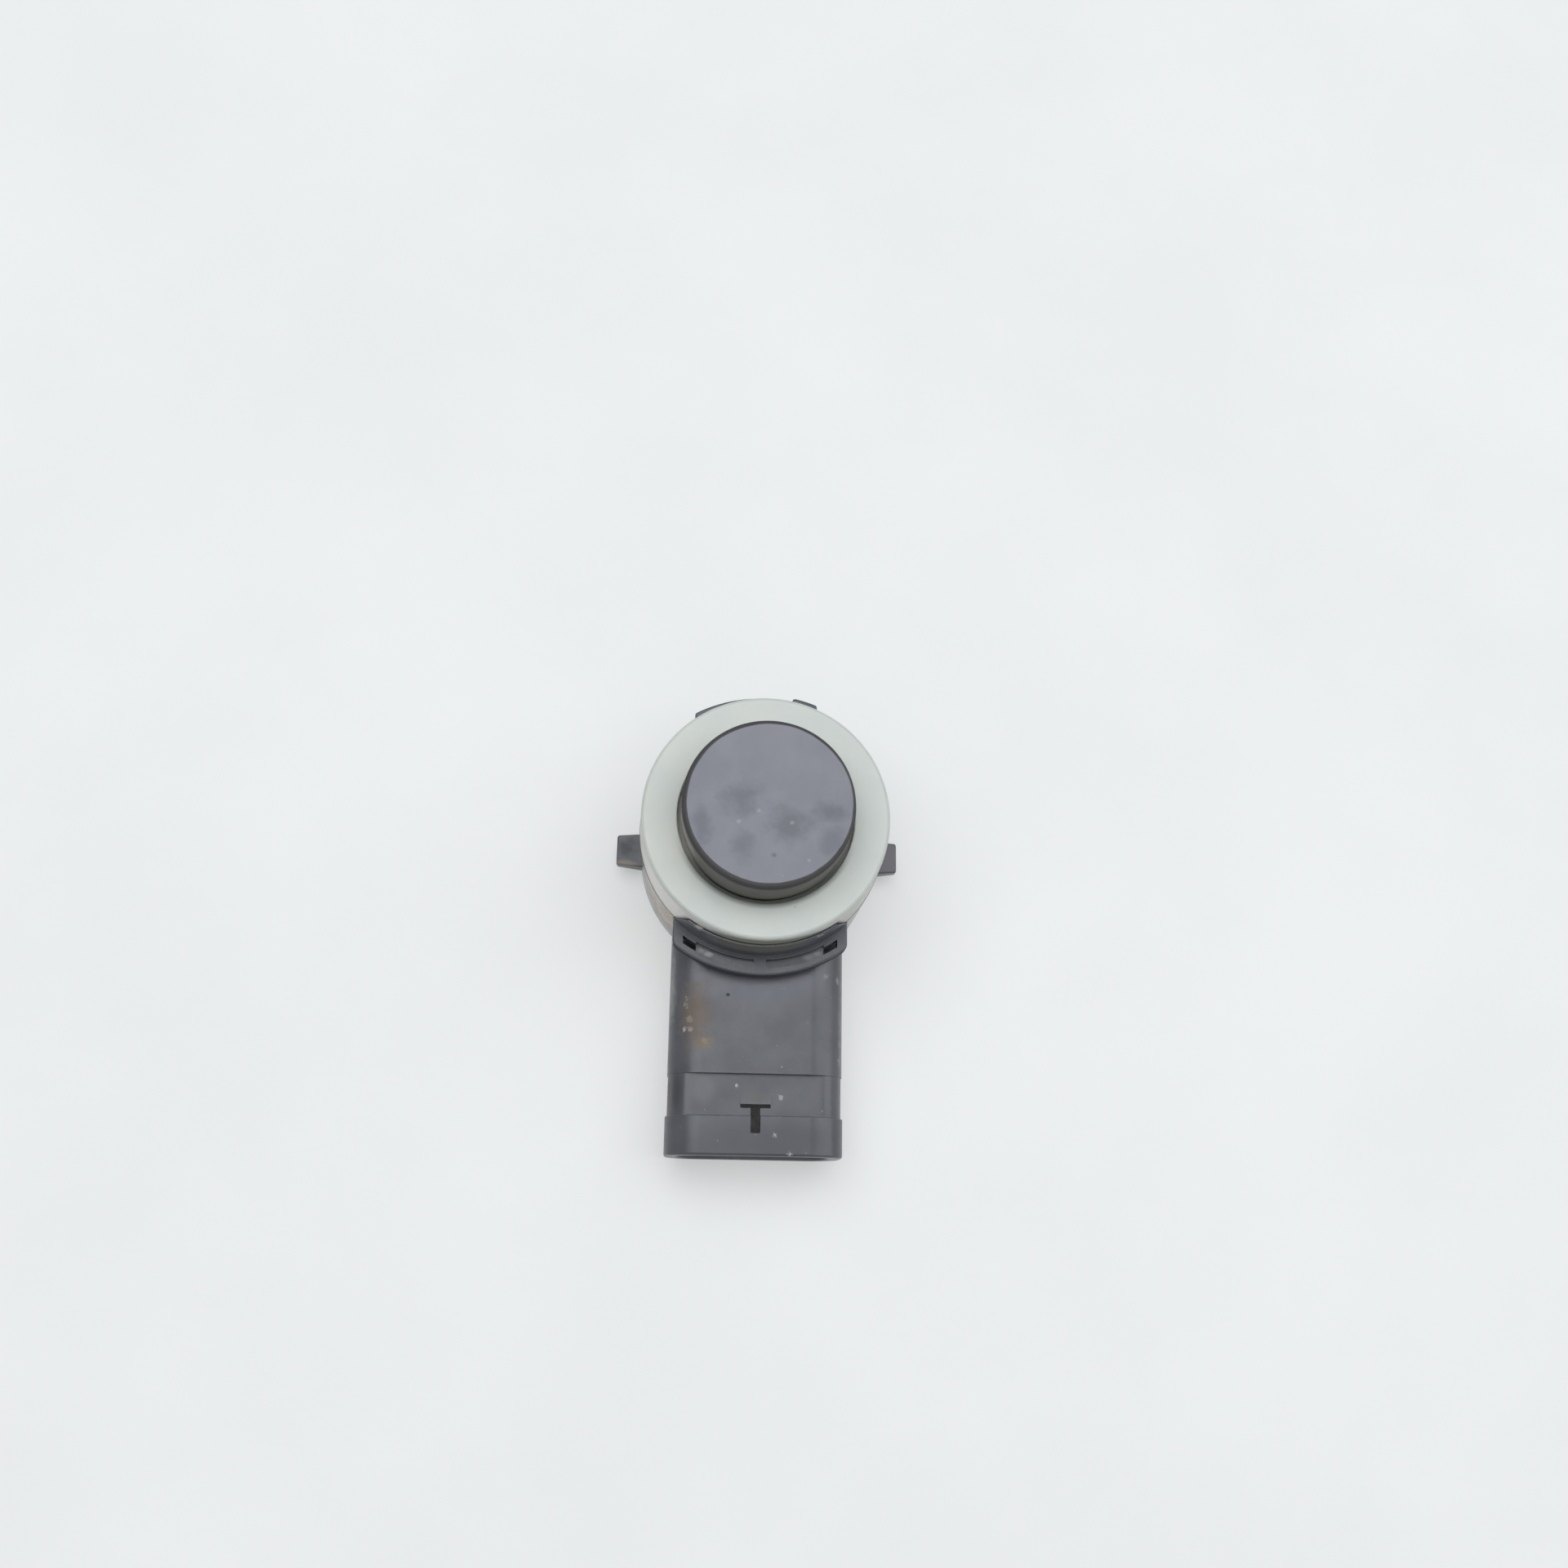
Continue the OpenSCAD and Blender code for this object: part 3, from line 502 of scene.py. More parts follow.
waist_top = SHROUD_Z + WAIST_HALF_H
bar_back, bar_front = BAR_HALF_T - BAR_Y, -BAR_HALF_T - BAR_Y
ramp_top, ramp_low = waist_top + RAMP_HEIGHT, waist_top - RAMP_ROOT
ramp_back, ramp_front = bar_back + RAMP_LENGTH, bar_back - RAMP_OVERLAP
ramp_outline = np.array([(ramp_back, ramp_low), (ramp_back, waist_top), (bar_back, ramp_top),
                         (ramp_front, ramp_top), (ramp_front, ramp_low)])
ramp = prism("ramp", ramp_outline, 0, -BAR_HALF_W, BAR_HALF_W)
slot_outline = round_corners(
    [(-BAR_HALF_W, bar_back), (BAR_HALF_W, bar_back), (BAR_HALF_W, bar_front), (STEM_HALF_W, bar_front),
     (STEM_HALF_W, -STEM_END_Y), (-STEM_HALF_W, -STEM_END_Y), (-STEM_HALF_W, bar_front),
     (-BAR_HALF_W, bar_front)],
    [0.08, 0.08, 0.08, 0.05, 0.15, 0.15, 0.05, 0.08])
latch_slot = prism("latch_slot", slot_outline, 2, SLOT_LOW, SLOT_HIGH)
print("ramp height in mm:", round(ramp_top, 2))

# %% [markdown]
# ### Body: the arc slots
#
# Two curved slots lie in the front flange, one each side of a bridge. Their floors start almost
# flush beside the bridge and fall towards an open end, and a fine crevice runs along their inside.
# A bent cube could cut them, but not with such a floor. So a cutter is a four-sided section carried
# along x: its sides lie on two circles, and its lower edge follows the floor.

# %% Arc slots
SLOT_FROM = 0.575
SLOT_OPEN = 5.95
SLOT_TO = 7.2
SLOT_IN, SLOT_OUT = 12.32, 12.92
SLOT_SHALLOW, SLOT_DEEP = 0.08, 0.5
CREVICE_IN, CREVICE_OUT = 12.12, 12.34
CREVICE_DEPTH = 0.6
OVERSHOOT = 0.5
SLOT_STEPS = 24
OPEN_STEPS = 12


def arc_cutter(name, side, inner_r, outer_r, along, floor):
    """A cutter along x: at each station its corners lie at y = -sqrt(r r - x x) on two circles, from above
    the flange down to the floor."""
    x = np.array(along, float)[:, None]
    radius = np.array([inner_r, inner_r, outer_r, outer_r])
    above = np.full(len(along), FLANGE_TOP + OVERSHOOT)
    height = np.stack([above, floor, floor, above], axis=1)
    grid = np.stack(np.broadcast_arrays(side * x, -np.sqrt(radius ** 2 - x ** 2), height), axis=-1)
    return skin_grid(name, grid, caps=(0, -1))


falling = np.linspace(SLOT_FROM, SLOT_OPEN, SLOT_STEPS)
opened = np.linspace(SLOT_OPEN, SLOT_TO, OPEN_STEPS)
slope = np.linspace(FLANGE_TOP - SLOT_SHALLOW, FLANGE_TOP - SLOT_DEEP, SLOT_STEPS)
slot_x = np.concatenate([falling, opened])
slot_floor = np.concatenate([slope, np.full(OPEN_STEPS, FLANGE_LOW - OVERSHOOT)])
crevice_floor = np.full(SLOT_STEPS, FLANGE_TOP - CREVICE_DEPTH)
cutters = [latch_slot]
for side in (-1, 1):
    cutters.append(arc_cutter("slot", side, SLOT_IN, SLOT_OUT, slot_x, slot_floor))
    cutters.append(arc_cutter("crevice", side, CREVICE_IN, CREVICE_OUT, falling, crevice_floor))
print("cutters:", len(cutters))

# %% [markdown]
# ### Body: one moulding
#
# A moulding is one skin, so the solids are joined and the slots cut away with Boolean modifiers.
# They work in millimetres here, because tiny numbers make the sums less exact, and the result is
# brought to metres at the end.

# %% Join and cut
SHARP_FROM = math.radians(32)


def to_piece(name, mesh):
    """A finished mesh in metres, smooth over small angles and sharp over large ones."""
    tidy_mesh(mesh)
    mesh.transform(Matrix.Scale(MM, 4))
    mesh.shade_smooth()
    mesh.set_sharp_from_angle(angle=SHARP_FROM)
    piece = bpy.data.objects.new(name, mesh)
    scene.collection.objects.link(piece)
    evened = piece.modifiers.new("evened", "WEIGHTED_NORMAL")
    evened.keep_sharp = True
    return piece


def join_and_cut(solids, cutters):
    """The union of the solids, less every cutter, as one new mesh."""
    base = solids[0]
    steps = [("UNION", solid) for solid in solids[1:]] + [("DIFFERENCE", cutter) for cutter in cutters]
    for operation, other in steps:
        step = base.modifiers.new(other.name, "BOOLEAN")
        step.operation = operation
        step.object = other
        step.solver = "EXACT"
    graph = bpy.context.evaluated_depsgraph_get()
    mesh = bpy.data.meshes.new_from_object(base.evaluated_get(graph))
    for used in solids + cutters:
        bpy.data.objects.remove(used)
    return mesh


solids = [barrel, front_flange, back_flange, key_lug, guard, shroud, ramp] + latches
shapes["housing"] = to_piece("housing_body", join_and_cut(solids, cutters))
print("body faces:", len(shapes["housing"].data.polygons))

# %% [markdown]
# ### Soft ring
#
# The ring is turned too: a tapered side, a rounded front edge, a groove round the head, and a tongue
# at the back that grips the barrel. In front, the side steps in to make room for the guard wall. That
# could be cut with a Boolean, but the grid stays even if the radius there simply depends on the angle
# as well as on the height.

# %% Ring outline
RING_TOP = 17.5
RING_FOOT_R = 11.56
RING_FRONT_R = 11.36
RING_GROOVE_R = 8.1
RING_GROOVE_Z = 16.1
RING_NECK_R = 7.55
RING_SEAT_R = 8.65
RING_SEAT_TOP = 14.15
RING_SEAT_Z = 12.9
TONGUE_IN, TONGUE_OUT = 10.4, 11.1
TONGUE_Z = 10.3
NOTCH_TOP = 15.45
NOTCH_LIP = 0.04

ring_outline = round_corners(
    [(RING_FOOT_R, BARREL_TOP), (RING_FRONT_R, RING_TOP), (RING_GROOVE_R, RING_TOP),
     (RING_GROOVE_R, RING_GROOVE_Z), (RING_NECK_R, RING_GROOVE_Z), (RING_NECK_R, RING_SEAT_TOP),
     (RING_SEAT_R, RING_SEAT_TOP), (RING_SEAT_R, RING_SEAT_Z), (DECK_HOLE_R, RING_SEAT_Z),
     (DECK_HOLE_R, BARREL_TOP), (TONGUE_IN, BARREL_TOP), (TONGUE_IN, TONGUE_Z), (TONGUE_OUT, TONGUE_Z),
     (TONGUE_OUT, BARREL_TOP)],
    [0.05, 0.2, 0.15, 0.1, 0.05, 0, 0, 0, 0, 0, 0, 0.1, 0.1, 0])
taper = (RING_FOOT_R - RING_FRONT_R) / (RING_TOP - BARREL_TOP)
added_z = np.array([12.5, 13.5, 14.5, NOTCH_TOP, NOTCH_TOP + NOTCH_LIP])
added = np.stack([RING_FOOT_R - taper * (added_z - BARREL_TOP), added_z], axis=1)
ring_outline = np.insert(ring_outline, CORNER_STEPS, added, axis=0)
print("points in the ring's outline:", len(ring_outline))

# %% Ring
NOTCH_R = 11.3
NOTCH_EDGE = 8.33
NOTCH_END_R = 11.45
FRONT_COLUMNS = 97
REST_COLUMNS = 161

radius, height = ring_outline[:, :1], ring_outline[:, 1:]
level = np.clip(height, BARREL_TOP, NOTCH_TOP)
end = np.arcsin((NOTCH_EDGE + (level - FLANGE_TOP) * GUARD_LEAN) / NOTCH_END_R)
front = -np.pi + end + np.linspace(0, 1, FRONT_COLUMNS) * (np.pi - 2 * end)
rest = -end + np.linspace(0, 1, REST_COLUMNS) * (np.pi + 2 * end)
ring_turn = np.concatenate([front, rest], axis=1)
in_front = np.arange(FRONT_COLUMNS + REST_COLUMNS) < FRONT_COLUMNS
notched = in_front & (height < NOTCH_TOP + NOTCH_LIP / 2)
ring_radius = np.where(notched, np.minimum(radius, NOTCH_R), radius)
ring = skin_grid("ring", revolve(ring_radius, height, ring_turn), ring_of_rows=True)
shapes["decoupling_ring"] = to_piece("soft_ring", ring.data.copy())
bpy.data.objects.remove(ring)
print("ring faces:", len(shapes["decoupling_ring"].data.polygons))

# %% [markdown]
# ### Sounding head
#
# The head is a metal cup, drawn from one disc. Its face is the membrane, its edge is rounded, and a
# foot at the back locks it into the ring. A Screw modifier could turn the outside, but not the bore,
# which is round with two flats that give the sound a flat wide beam: its radius is the smaller of the
# bore's and the flat's distance / |sin a|.

# %% Head
HEAD_R = 7.75
HEAD_TOP = 22.0
NECK_R = 7.5
FOOT_R = 8.6
FOOT_TOP = 14.1
BORE_R = 6.55
BORE_FLAT = 5.25
BORE_TOP = 21.25
HEAD_STEPS = 8

head_outline = round_corners(
    [(0, HEAD_TOP), (HEAD_R, HEAD_TOP), (HEAD_R, RING_TOP), (NECK_R, RING_TOP), (NECK_R, FOOT_TOP),
     (FOOT_R, FOOT_TOP), (FOOT_R, RING_SEAT_Z), (0, RING_SEAT_Z)],
    [0, 0.4, 0.05, 0, 0, 0.1, 0.1, 0], steps=HEAD_STEPS)[:-HEAD_STEPS]
bore = np.minimum(BORE_R, BORE_FLAT / np.maximum(np.abs(np.sin(turn)), 1e-6))
radius = np.concatenate([np.repeat(head_outline[:, :1], TURNS, axis=1), bore, bore, 0 * bore])
height = np.concatenate([head_outline[:, 1:], [[RING_SEAT_Z], [BORE_TOP], [BORE_TOP]]])
head = skin_grid("head", revolve(radius, height, turn))
shapes["membrane_cup"] = to_piece("sounding_head", head.data.copy())
bpy.data.objects.remove(head)
print("head faces:", len(shapes["membrane_cup"].data.polygons))

# %% [markdown]
# ## Effects that several finishes share
#
# Dirt, grain and wear look alike on every piece, so each is a node group that is built once and
# placed in a finish with its own values. All of them read Object coordinates, which on this part
# are the CAD frame in metres, so a stain can be put at a real place on the part.

# %% Helpers for node groups
def start_group(name, inputs, outputs):
    """Starts a shader node group with named sockets. Gives the group, its inputs and its outputs."""
    group = bpy.data.node_groups.new(name, "ShaderNodeTree")
    for label, kind, value in inputs:
        socket = group.interface.new_socket(label, in_out="INPUT", socket_type="NodeSocket" + kind)
        socket.default_value = value
    for label, kind in outputs:
        group.interface.new_socket(label, in_out="OUTPUT", socket_type="NodeSocket" + kind)
    return group, group.nodes.new("NodeGroupInput").outputs, group.nodes.new("NodeGroupOutput").inputs


def here(tree):
    """The place on the part, in metres."""
    return put(tree, "ShaderNodeTexCoord").outputs["Object"]


def fade(tree, value, start, end):
    """0 up to start and 1 from end on, with a smooth step between. Start may be the larger one."""
    limits = {"Value": value, "From Min": start, "From Max": end}
    return put(tree, "ShaderNodeMapRange", limits, interpolation_type="SMOOTHSTEP").outputs[0]


def noise(tree, scale, detail=3.0, roughness=0.55):
    """Cloudy noise around 0.5, with that many clouds in a metre."""
    values = {"Vector": here(tree), "Scale": scale, "Detail": detail, "Roughness": roughness}
    return put(tree, "ShaderNodeTexNoise", values).outputs["Fac"]


print("helpers for groups:", [f.__name__ for f in (start_group, here, fade, noise)])

# %% [markdown]
# A stain has a place and a reach on each axis. The distance from its place, counted in reaches, is
# torn by noise, so the edge comes out ragged, and the core says how much of the reach is full.

# %% Ragged patch: a stain or smudge at a place on the part
patch, given, result = start_group(
    "ragged_patch",
    [("Place", "Vector", (0, 0, 0)), ("Reach", "Vector", (MM, MM, MM)), ("Scale", "Float", 800.0),
     ("Ragged", "Float", 0.8), ("Core", "Float", 0.3)],
    [("Mask", "Float")],
)
offset = put(patch, "ShaderNodeVectorMath", {0: here(patch), 1: given["Place"]}, operation="SUBTRACT")
shares = put(patch, "ShaderNodeVectorMath", {0: offset.outputs[0], 1: given["Reach"]}, operation="DIVIDE")
distance = put(patch, "ShaderNodeVectorMath", {0: shares.outputs[0]}, operation="LENGTH").outputs["Value"]
cloud = calc(patch, "SUBTRACT", noise(patch, given["Scale"], detail=5.0, roughness=0.65), 0.5)
torn = calc(patch, "MULTIPLY_ADD", cloud, given["Ragged"], distance)
patch.links.new(fade(patch, torn, 1.0, given["Core"]), result["Mask"])
print(patch.name, "nodes:", len(patch.nodes))

# %% [markdown]
# Loose dust is a scatter of grains. A Voronoi texture gives every cell a random colour: one channel
# decides if the cell holds a grain, and another how large it is.

# %% Specks: loose grains of dust
specks, given, result = start_group(
    "dust_specks",
    [("Scale", "Float", 900.0), ("Share", "Float", 0.05), ("Size", "Float", 0.2)],
    [("Mask", "Float")],
)
cells = put(specks, "ShaderNodeTexVoronoi", {"Vector": here(specks), "Scale": given["Scale"]}).outputs
chance = put(specks, "ShaderNodeSeparateColor", {0: cells["Color"]}).outputs
present = calc(specks, "LESS_THAN", chance[0], given["Share"])
radius = calc(specks, "MULTIPLY", chance[1], given["Size"])
grain = fade(specks, cells["Distance"], radius, calc(specks, "MULTIPLY", radius, 0.5))
specks.links.new(calc(specks, "MULTIPLY", present, grain), result["Mask"])
print(specks.name, "nodes:", len(specks.nodes))

# %% [markdown]
# No surface is quite smooth or quite even. The skin is a fine relief for the Bump node, and the
# mottle lets a shade or a gloss drift between two values.

# %% Skin: the fine relief of a moulded, painted or sintered surface
skin, given, result = start_group("surface_skin", [("Scale", "Float", 6000.0)], [("Height", "Float")])
broad = noise(skin, calc(skin, "MULTIPLY", given["Scale"], 0.2), detail=2.0)
fine = noise(skin, given["Scale"])
skin.links.new(calc(skin, "MULTIPLY_ADD", broad, 1.5, fine), result["Height"])
print(skin.name, "nodes:", len(skin.nodes))

# %% Mottle: a value that drifts over the surface
mottle, given, result = start_group(
    "mottle",
    [("Scale", "Float", 300.0), ("Low", "Float", 0.4), ("High", "Float", 0.5)],
    [("Value", "Float")],
)
drift = fade(mottle, noise(mottle, given["Scale"], detail=4.0, roughness=0.6), 0.3, 0.7)
span = calc(mottle, "SUBTRACT", given["High"], given["Low"])
mottle.links.new(calc(mottle, "MULTIPLY_ADD", drift, span, given["Low"]), result["Value"])
print(mottle.name, "nodes:", len(mottle.nodes))

# %% [markdown]
# Edges rub pale first. A Bevel node gives the direction that a rounded edge would face, and where it
# differs from the real one there is an edge. Noise breaks the line up.

# %% Worn edge: where a rubbed corner shows lighter
worn, given, result = start_group("worn_edge", [("Radius", "Float", 0.3 * MM)], [("Mask", "Float")])
rounded = put(worn, "ShaderNodeBevel", {"Radius": given["Radius"]}, samples=6).outputs[0]
facing = put(worn, "ShaderNodeNewGeometry").outputs["Normal"]
alike = put(worn, "ShaderNodeVectorMath", {0: rounded, 1: facing}, operation="DOT_PRODUCT").outputs["Value"]
rubbed = fade(worn, noise(worn, scale=1500.0, detail=4.0), 0.35, 0.65)
worn.links.new(calc(worn, "MULTIPLY", fade(worn, alike, 0.99, 0.9), rubbed), result["Mask"])
print("node groups:", sorted(g.name for g in bpy.data.node_groups))

# %% [markdown]
# ## Finishes
#
# A finish starts with one Principled shader. What is the same all over is set on the shader itself,
# and what changes over the surface comes from the groups. Paint is built up in coats, each a colour
# over the one before, by a mask.

# %% Start of a finish
finishes = {}


def start_finish(name, **plain):
    """A new material with a Principled shader. Plain values are set on the shader's own sockets."""
    material = bpy.data.materials.new(name)
    material.use_nodes = True
    tree = material.node_tree
    tree.nodes.clear()
    shader = put(tree, "ShaderNodeBsdfPrincipled", {k.replace("_", " "): v for k, v in plain.items()})
    put(tree, "ShaderNodeOutputMaterial", {"Surface": shader.outputs[0]})
    return material, tree, shader.inputs


def use_group(tree, group, **values):
    """Places a group in a tree, with its inputs named in lower case, and gives its outputs."""
    node = tree.nodes.new("ShaderNodeGroup")
    node.node_tree = group
    for name, value in values.items():
        socket = node.inputs[name.capitalize()]
        if isinstance(value, bpy.types.NodeSocket):
            tree.links.new(value, socket)
        else:
            socket.default_value = value
    return node.outputs


def relief(tree, sockets, height, depth):
    """Links a height to the shader's normal, at a depth in millimetres."""
    bump = put(tree, "ShaderNodeBump", {"Height": height, "Distance": depth * MM})
    tree.links.new(bump.outputs[0], sockets["Normal"])


print("helpers for a finish:", [f.__name__ for f in (start_finish, use_group, relief)])

# %% Coats of paint
def blend_colour(tree, mask, under, over):
    """One colour under another, by a mask."""
    node = put(tree, "ShaderNodeMix", {0: mask, 6: under, 7: over}, data_type="RGBA")
    return node.outputs[2]


def coat(tree, paint, mask, strength, tint):
    """Lays a colour over the paint where the mask is, at that strength."""
    return blend_colour(tree, calc(tree, "MULTIPLY", mask, strength), paint, tint)


def drifting(tree, scale, dark, light):
    """A paint that drifts between two close shades."""
    return blend_colour(tree, use_group(tree, mottle, scale=scale, low=0.0, high=1.0)[0], dark, light)


def colour(red, green, blue):
    """A colour as a node's socket takes it."""
    return (red, green, blue, 1.0)


print("helpers for paint:", [f.__name__ for f in (blend_colour, coat, drifting, colour)])

# %% [markdown]
# Some dirt follows the shape: it lies on top of one step, or along one edge. Such masks are worked
# out from a place's height and from its distance to the axis.

# %% Masks by height and by distance from the axis
def away_from_axis(tree):
    """The distance of a place from the axis of the barrel, in metres."""
    across = put(tree, "ShaderNodeVectorMath", {0: here(tree), 1: (1, 1, 0)}, operation="MULTIPLY").outputs[0]
    return put(tree, "ShaderNodeVectorMath", {0: across}, operation="LENGTH").outputs["Value"]


def height_of(tree):
    """The height of a place over the back face, in metres."""
    return put(tree, "ShaderNodeSeparateXYZ", {0: here(tree)}).outputs["Z"]


def fade_mm(tree, value, start, end):
    """The same as fade, with the two ends in millimetres."""
    return fade(tree, value, start * MM, end * MM)


def band(tree, value, start, full, end, gone):
    """1 between full and end, and 0 before start and past gone, all in millimetres."""
    return calc(tree, "MULTIPLY", fade_mm(tree, value, start, full), fade_mm(tree, value, gone, end))


print("helpers for masks:", [f.__name__ for f in (away_from_axis, height_of, fade_mm, band)])

# %% [markdown]
# ### Black plastic of the body
#
# Glass-filled nylon, moulded with a satin skin and a polished barrel. On this used part it has gone
# grey with fine dust, a rusty stain with golden grit runs down the left of the socket, and brown
# grime sits on the guard wall. Each stain is the same ragged patch with its own place and size, which
# is quicker to adjust than painting on the mesh. The same patches also paint light and shade. A cloud
# is torn, a crumb is small and sharp, a film is almost even, a pit is a dark dent, and the last kind
# is painted shade down in a slot's open end.

# %% Kinds of stains and of painted shade
# Kind: noise scale, raggedness, core, and how dull the stain makes the surface
TEARS = {
    "cloud": (900.0, 1.2, 0.1, 0.3),
    "crumb": (4500.0, 3.2, 0.4, 0.3),
    "film": (500.0, 0.3, 0.3, 0.1),
    "pit": (500.0, 0.1, 0.8, 0.7),
    "hollow": (500.0, 0.15, 0.5, 0.7),
}


def spot(x, y, z):
    """A place or reach that is given in millimetres, in metres."""
    return (x * MM, y * MM, z * MM)


print("kinds of stains:", list(TEARS))

# %% Stains of the body, and painted light and shade
# Kind, place and reach in millimetres, colour, strength
STAINS_AND_PAINTED_LIGHT = (
    # On the socket: a darker collar top, and a paler patch on the waist's left
    ("film", spot(0.0, -28.6, 8.9), spot(9.5, 2.6, 1.2), colour(0.026, 0.028, 0.036), 0.7),
    ("film", spot(-4.9, -23.7, 8.4), spot(1.6, 2.0, 0.5), colour(0.100, 0.102, 0.115), 0.7),
    # Painted shade along the left flank's upper rounded corner
    ("film", spot(-7.3, -24.0, 7.6), spot(0.8, 2.4, 1.0), colour(0.014, 0.015, 0.022), 0.85),
    # Painted reflection: pale on both flanks, where they would mirror the table
    ("cloud", spot(-8.1, -14.5, 5.8), spot(0.8, 5.0, 3.0), colour(0.340, 0.335, 0.325), 0.7),
    ("cloud", spot(8.2, -18.5, 5.8), spot(0.7, 9.0, 3.0), colour(0.340, 0.338, 0.335), 0.7),
    # Shade on the left latch
    ("cloud", spot(-13.0, 0.3, 3.4), spot(2.6, 2.2, 1.6), colour(0.026, 0.022, 0.021), 0.8),
    # Rusty stain with golden grit and crumbs
    ("cloud", spot(-5.75, -16.9, 8.5), spot(2.2, 4.8, 3.0), colour(0.130, 0.092, 0.068), 0.8),
    ("cloud", spot(-4.95, -19.6, 8.8), spot(1.5, 1.0, 2.0), colour(0.190, 0.148, 0.092), 0.75),
    ("crumb", spot(-4.9, -19.4, 8.9), spot(0.45, 0.3, 0.6), colour(0.340, 0.295, 0.220), 0.4),
    ("crumb", spot(-6.75, -16.1, 8.5), spot(0.34, 0.38, 0.6), colour(0.300, 0.255, 0.240), 0.5),
    ("crumb", spot(-6.65, -15.5, 8.5), spot(0.25, 0.25, 0.5), colour(0.300, 0.255, 0.240), 0.5),
    ("crumb", spot(-6.35, -17.4, 8.6), spot(0.32, 0.38, 0.6), colour(0.320, 0.275, 0.255), 0.55),
    ("crumb", spot(-6.8, -18.3, 8.5), spot(0.26, 0.28, 0.5), colour(0.450, 0.400, 0.370), 0.85),
    ("crumb", spot(-6.25, -18.35, 8.6), spot(0.31, 0.28, 0.5), colour(0.360, 0.310, 0.290), 0.65),
    ("cloud", spot(-8.1, -24.6, 5.6), spot(0.9, 3.2, 2.6), colour(0.130, 0.098, 0.075), 0.7),
    # Dent, and crumbs beside the right slot
    ("pit", spot(-2.8, -15.1, 8.85), spot(0.2, 0.18, 1.0), colour(0.012, 0.011, 0.011), 0.6),
    ("crumb", spot(6.4, -13.1, 8.6), spot(0.3, 0.3, 0.6), colour(0.250, 0.250, 0.260), 0.6),
    ("crumb", spot(7.65, -13.3, 7.5), spot(0.3, 0.4, 0.6), colour(0.300, 0.300, 0.310), 0.6),
    # Grime on the guard wall
    ("film", spot(0.0, -11.7, 14.0), spot(8.6, 2.2, 2.0), colour(0.142, 0.136, 0.120), 0.85),
    ("film", spot(0.0, -11.5, 15.5), spot(7.4, 1.6, 0.5), colour(0.078, 0.081, 0.066), 0.9),
    ("cloud", spot(-6.1, -10.1, 14.9), spot(0.9, 0.6, 0.6), colour(0.030, 0.026, 0.020), 0.9),
    ("crumb", spot(-5.75, -10.0, 15.3), spot(0.6, 0.35, 0.4), colour(0.420, 0.420, 0.370), 0.75),
    ("crumb", spot(5.3, -10.5, 15.1), spot(0.45, 0.3, 0.4), colour(0.360, 0.360, 0.320), 0.75),
    # Painted reflection: pale on the slots' floors. Painted shade down in their open ends
    ("film", spot(-5.5, -11.32, 10.85), spot(0.65, 0.5, 0.5), colour(0.330, 0.333, 0.345), 0.85),
    ("film", spot(-4.8, -11.65, 10.85), spot(0.7, 0.45, 0.5), colour(0.420, 0.423, 0.440), 0.85),
    ("film", spot(5.4, -11.35, 10.85), spot(0.7, 0.5, 0.5), colour(0.235, 0.250, 0.257), 0.85),
    ("film", spot(4.6, -11.7, 10.85), spot(0.8, 0.45, 0.5), colour(0.200, 0.208, 0.215), 0.8),
    ("hollow", spot(-6.65, -10.35, 9.0), spot(1.25, 1.15, 2.05), colour(0.004, 0.004, 0.005), 1.0),
    ("hollow", spot(7.0, -10.3, 8.8), spot(1.5, 1.3, 2.3), colour(0.004, 0.004, 0.005), 1.0),
    # Painted light on the left latch's front, and dust on the right latch
    ("film", spot(-13.1, -1.5, 2.5), spot(1.7, 0.7, 3.0), colour(0.230, 0.195, 0.170), 0.85),
    ("film", spot(13.2, 0.0, 3.5), spot(2.0, 2.5, 2.0), colour(0.105, 0.088, 0.100), 0.8),
    # Dust in the socket and on the latch ramp
    ("cloud", spot(0.0, -24.6, 1.3), spot(6.0, 3.6, 0.8), colour(0.420, 0.405, 0.395), 0.85),
    ("film", spot(0.0, -24.45, 8.45), spot(1.6, 0.75, 0.5), colour(0.062, 0.058, 0.058), 0.7),
    # Crumbs on the waist and the collar
    ("crumb", spot(1.81, -27.86, 8.95), spot(0.26, 0.24, 0.5), colour(0.420, 0.430, 0.440), 0.75),
    ("crumb", spot(3.18, -29.51, 8.95), spot(0.26, 0.24, 0.5), colour(0.420, 0.430, 0.440), 0.75),
    ("crumb", spot(2.29, -24.42, 8.3), spot(0.32, 0.26, 0.5), colour(0.380, 0.380, 0.360), 0.65),
    ("crumb", spot(-1.78, -23.46, 8.3), spot(0.22, 0.22, 0.5), colour(0.450, 0.450, 0.460), 0.75),
)
print("stains:", len(STAINS_AND_PAINTED_LIGHT))

# %% [markdown]
# Under the stains lie four even effects that follow the shape: rubbed edges, painted light on the
# socket's top near the flange, a pale blue-grey that lifts the shade under it, painted shade on the
# flange's edge face, and the polished barrel with painted warm light on its left. The first comes from
# the worn edge, and the others are masks by height and by distance from the axis.

# %% Housing plastic
# Scale, share, size and strength of the coarse and the fine dust
DUST = ((1300.0, 0.06, 0.20, 0.45), (3200.0, 0.05, 0.30, 0.30))


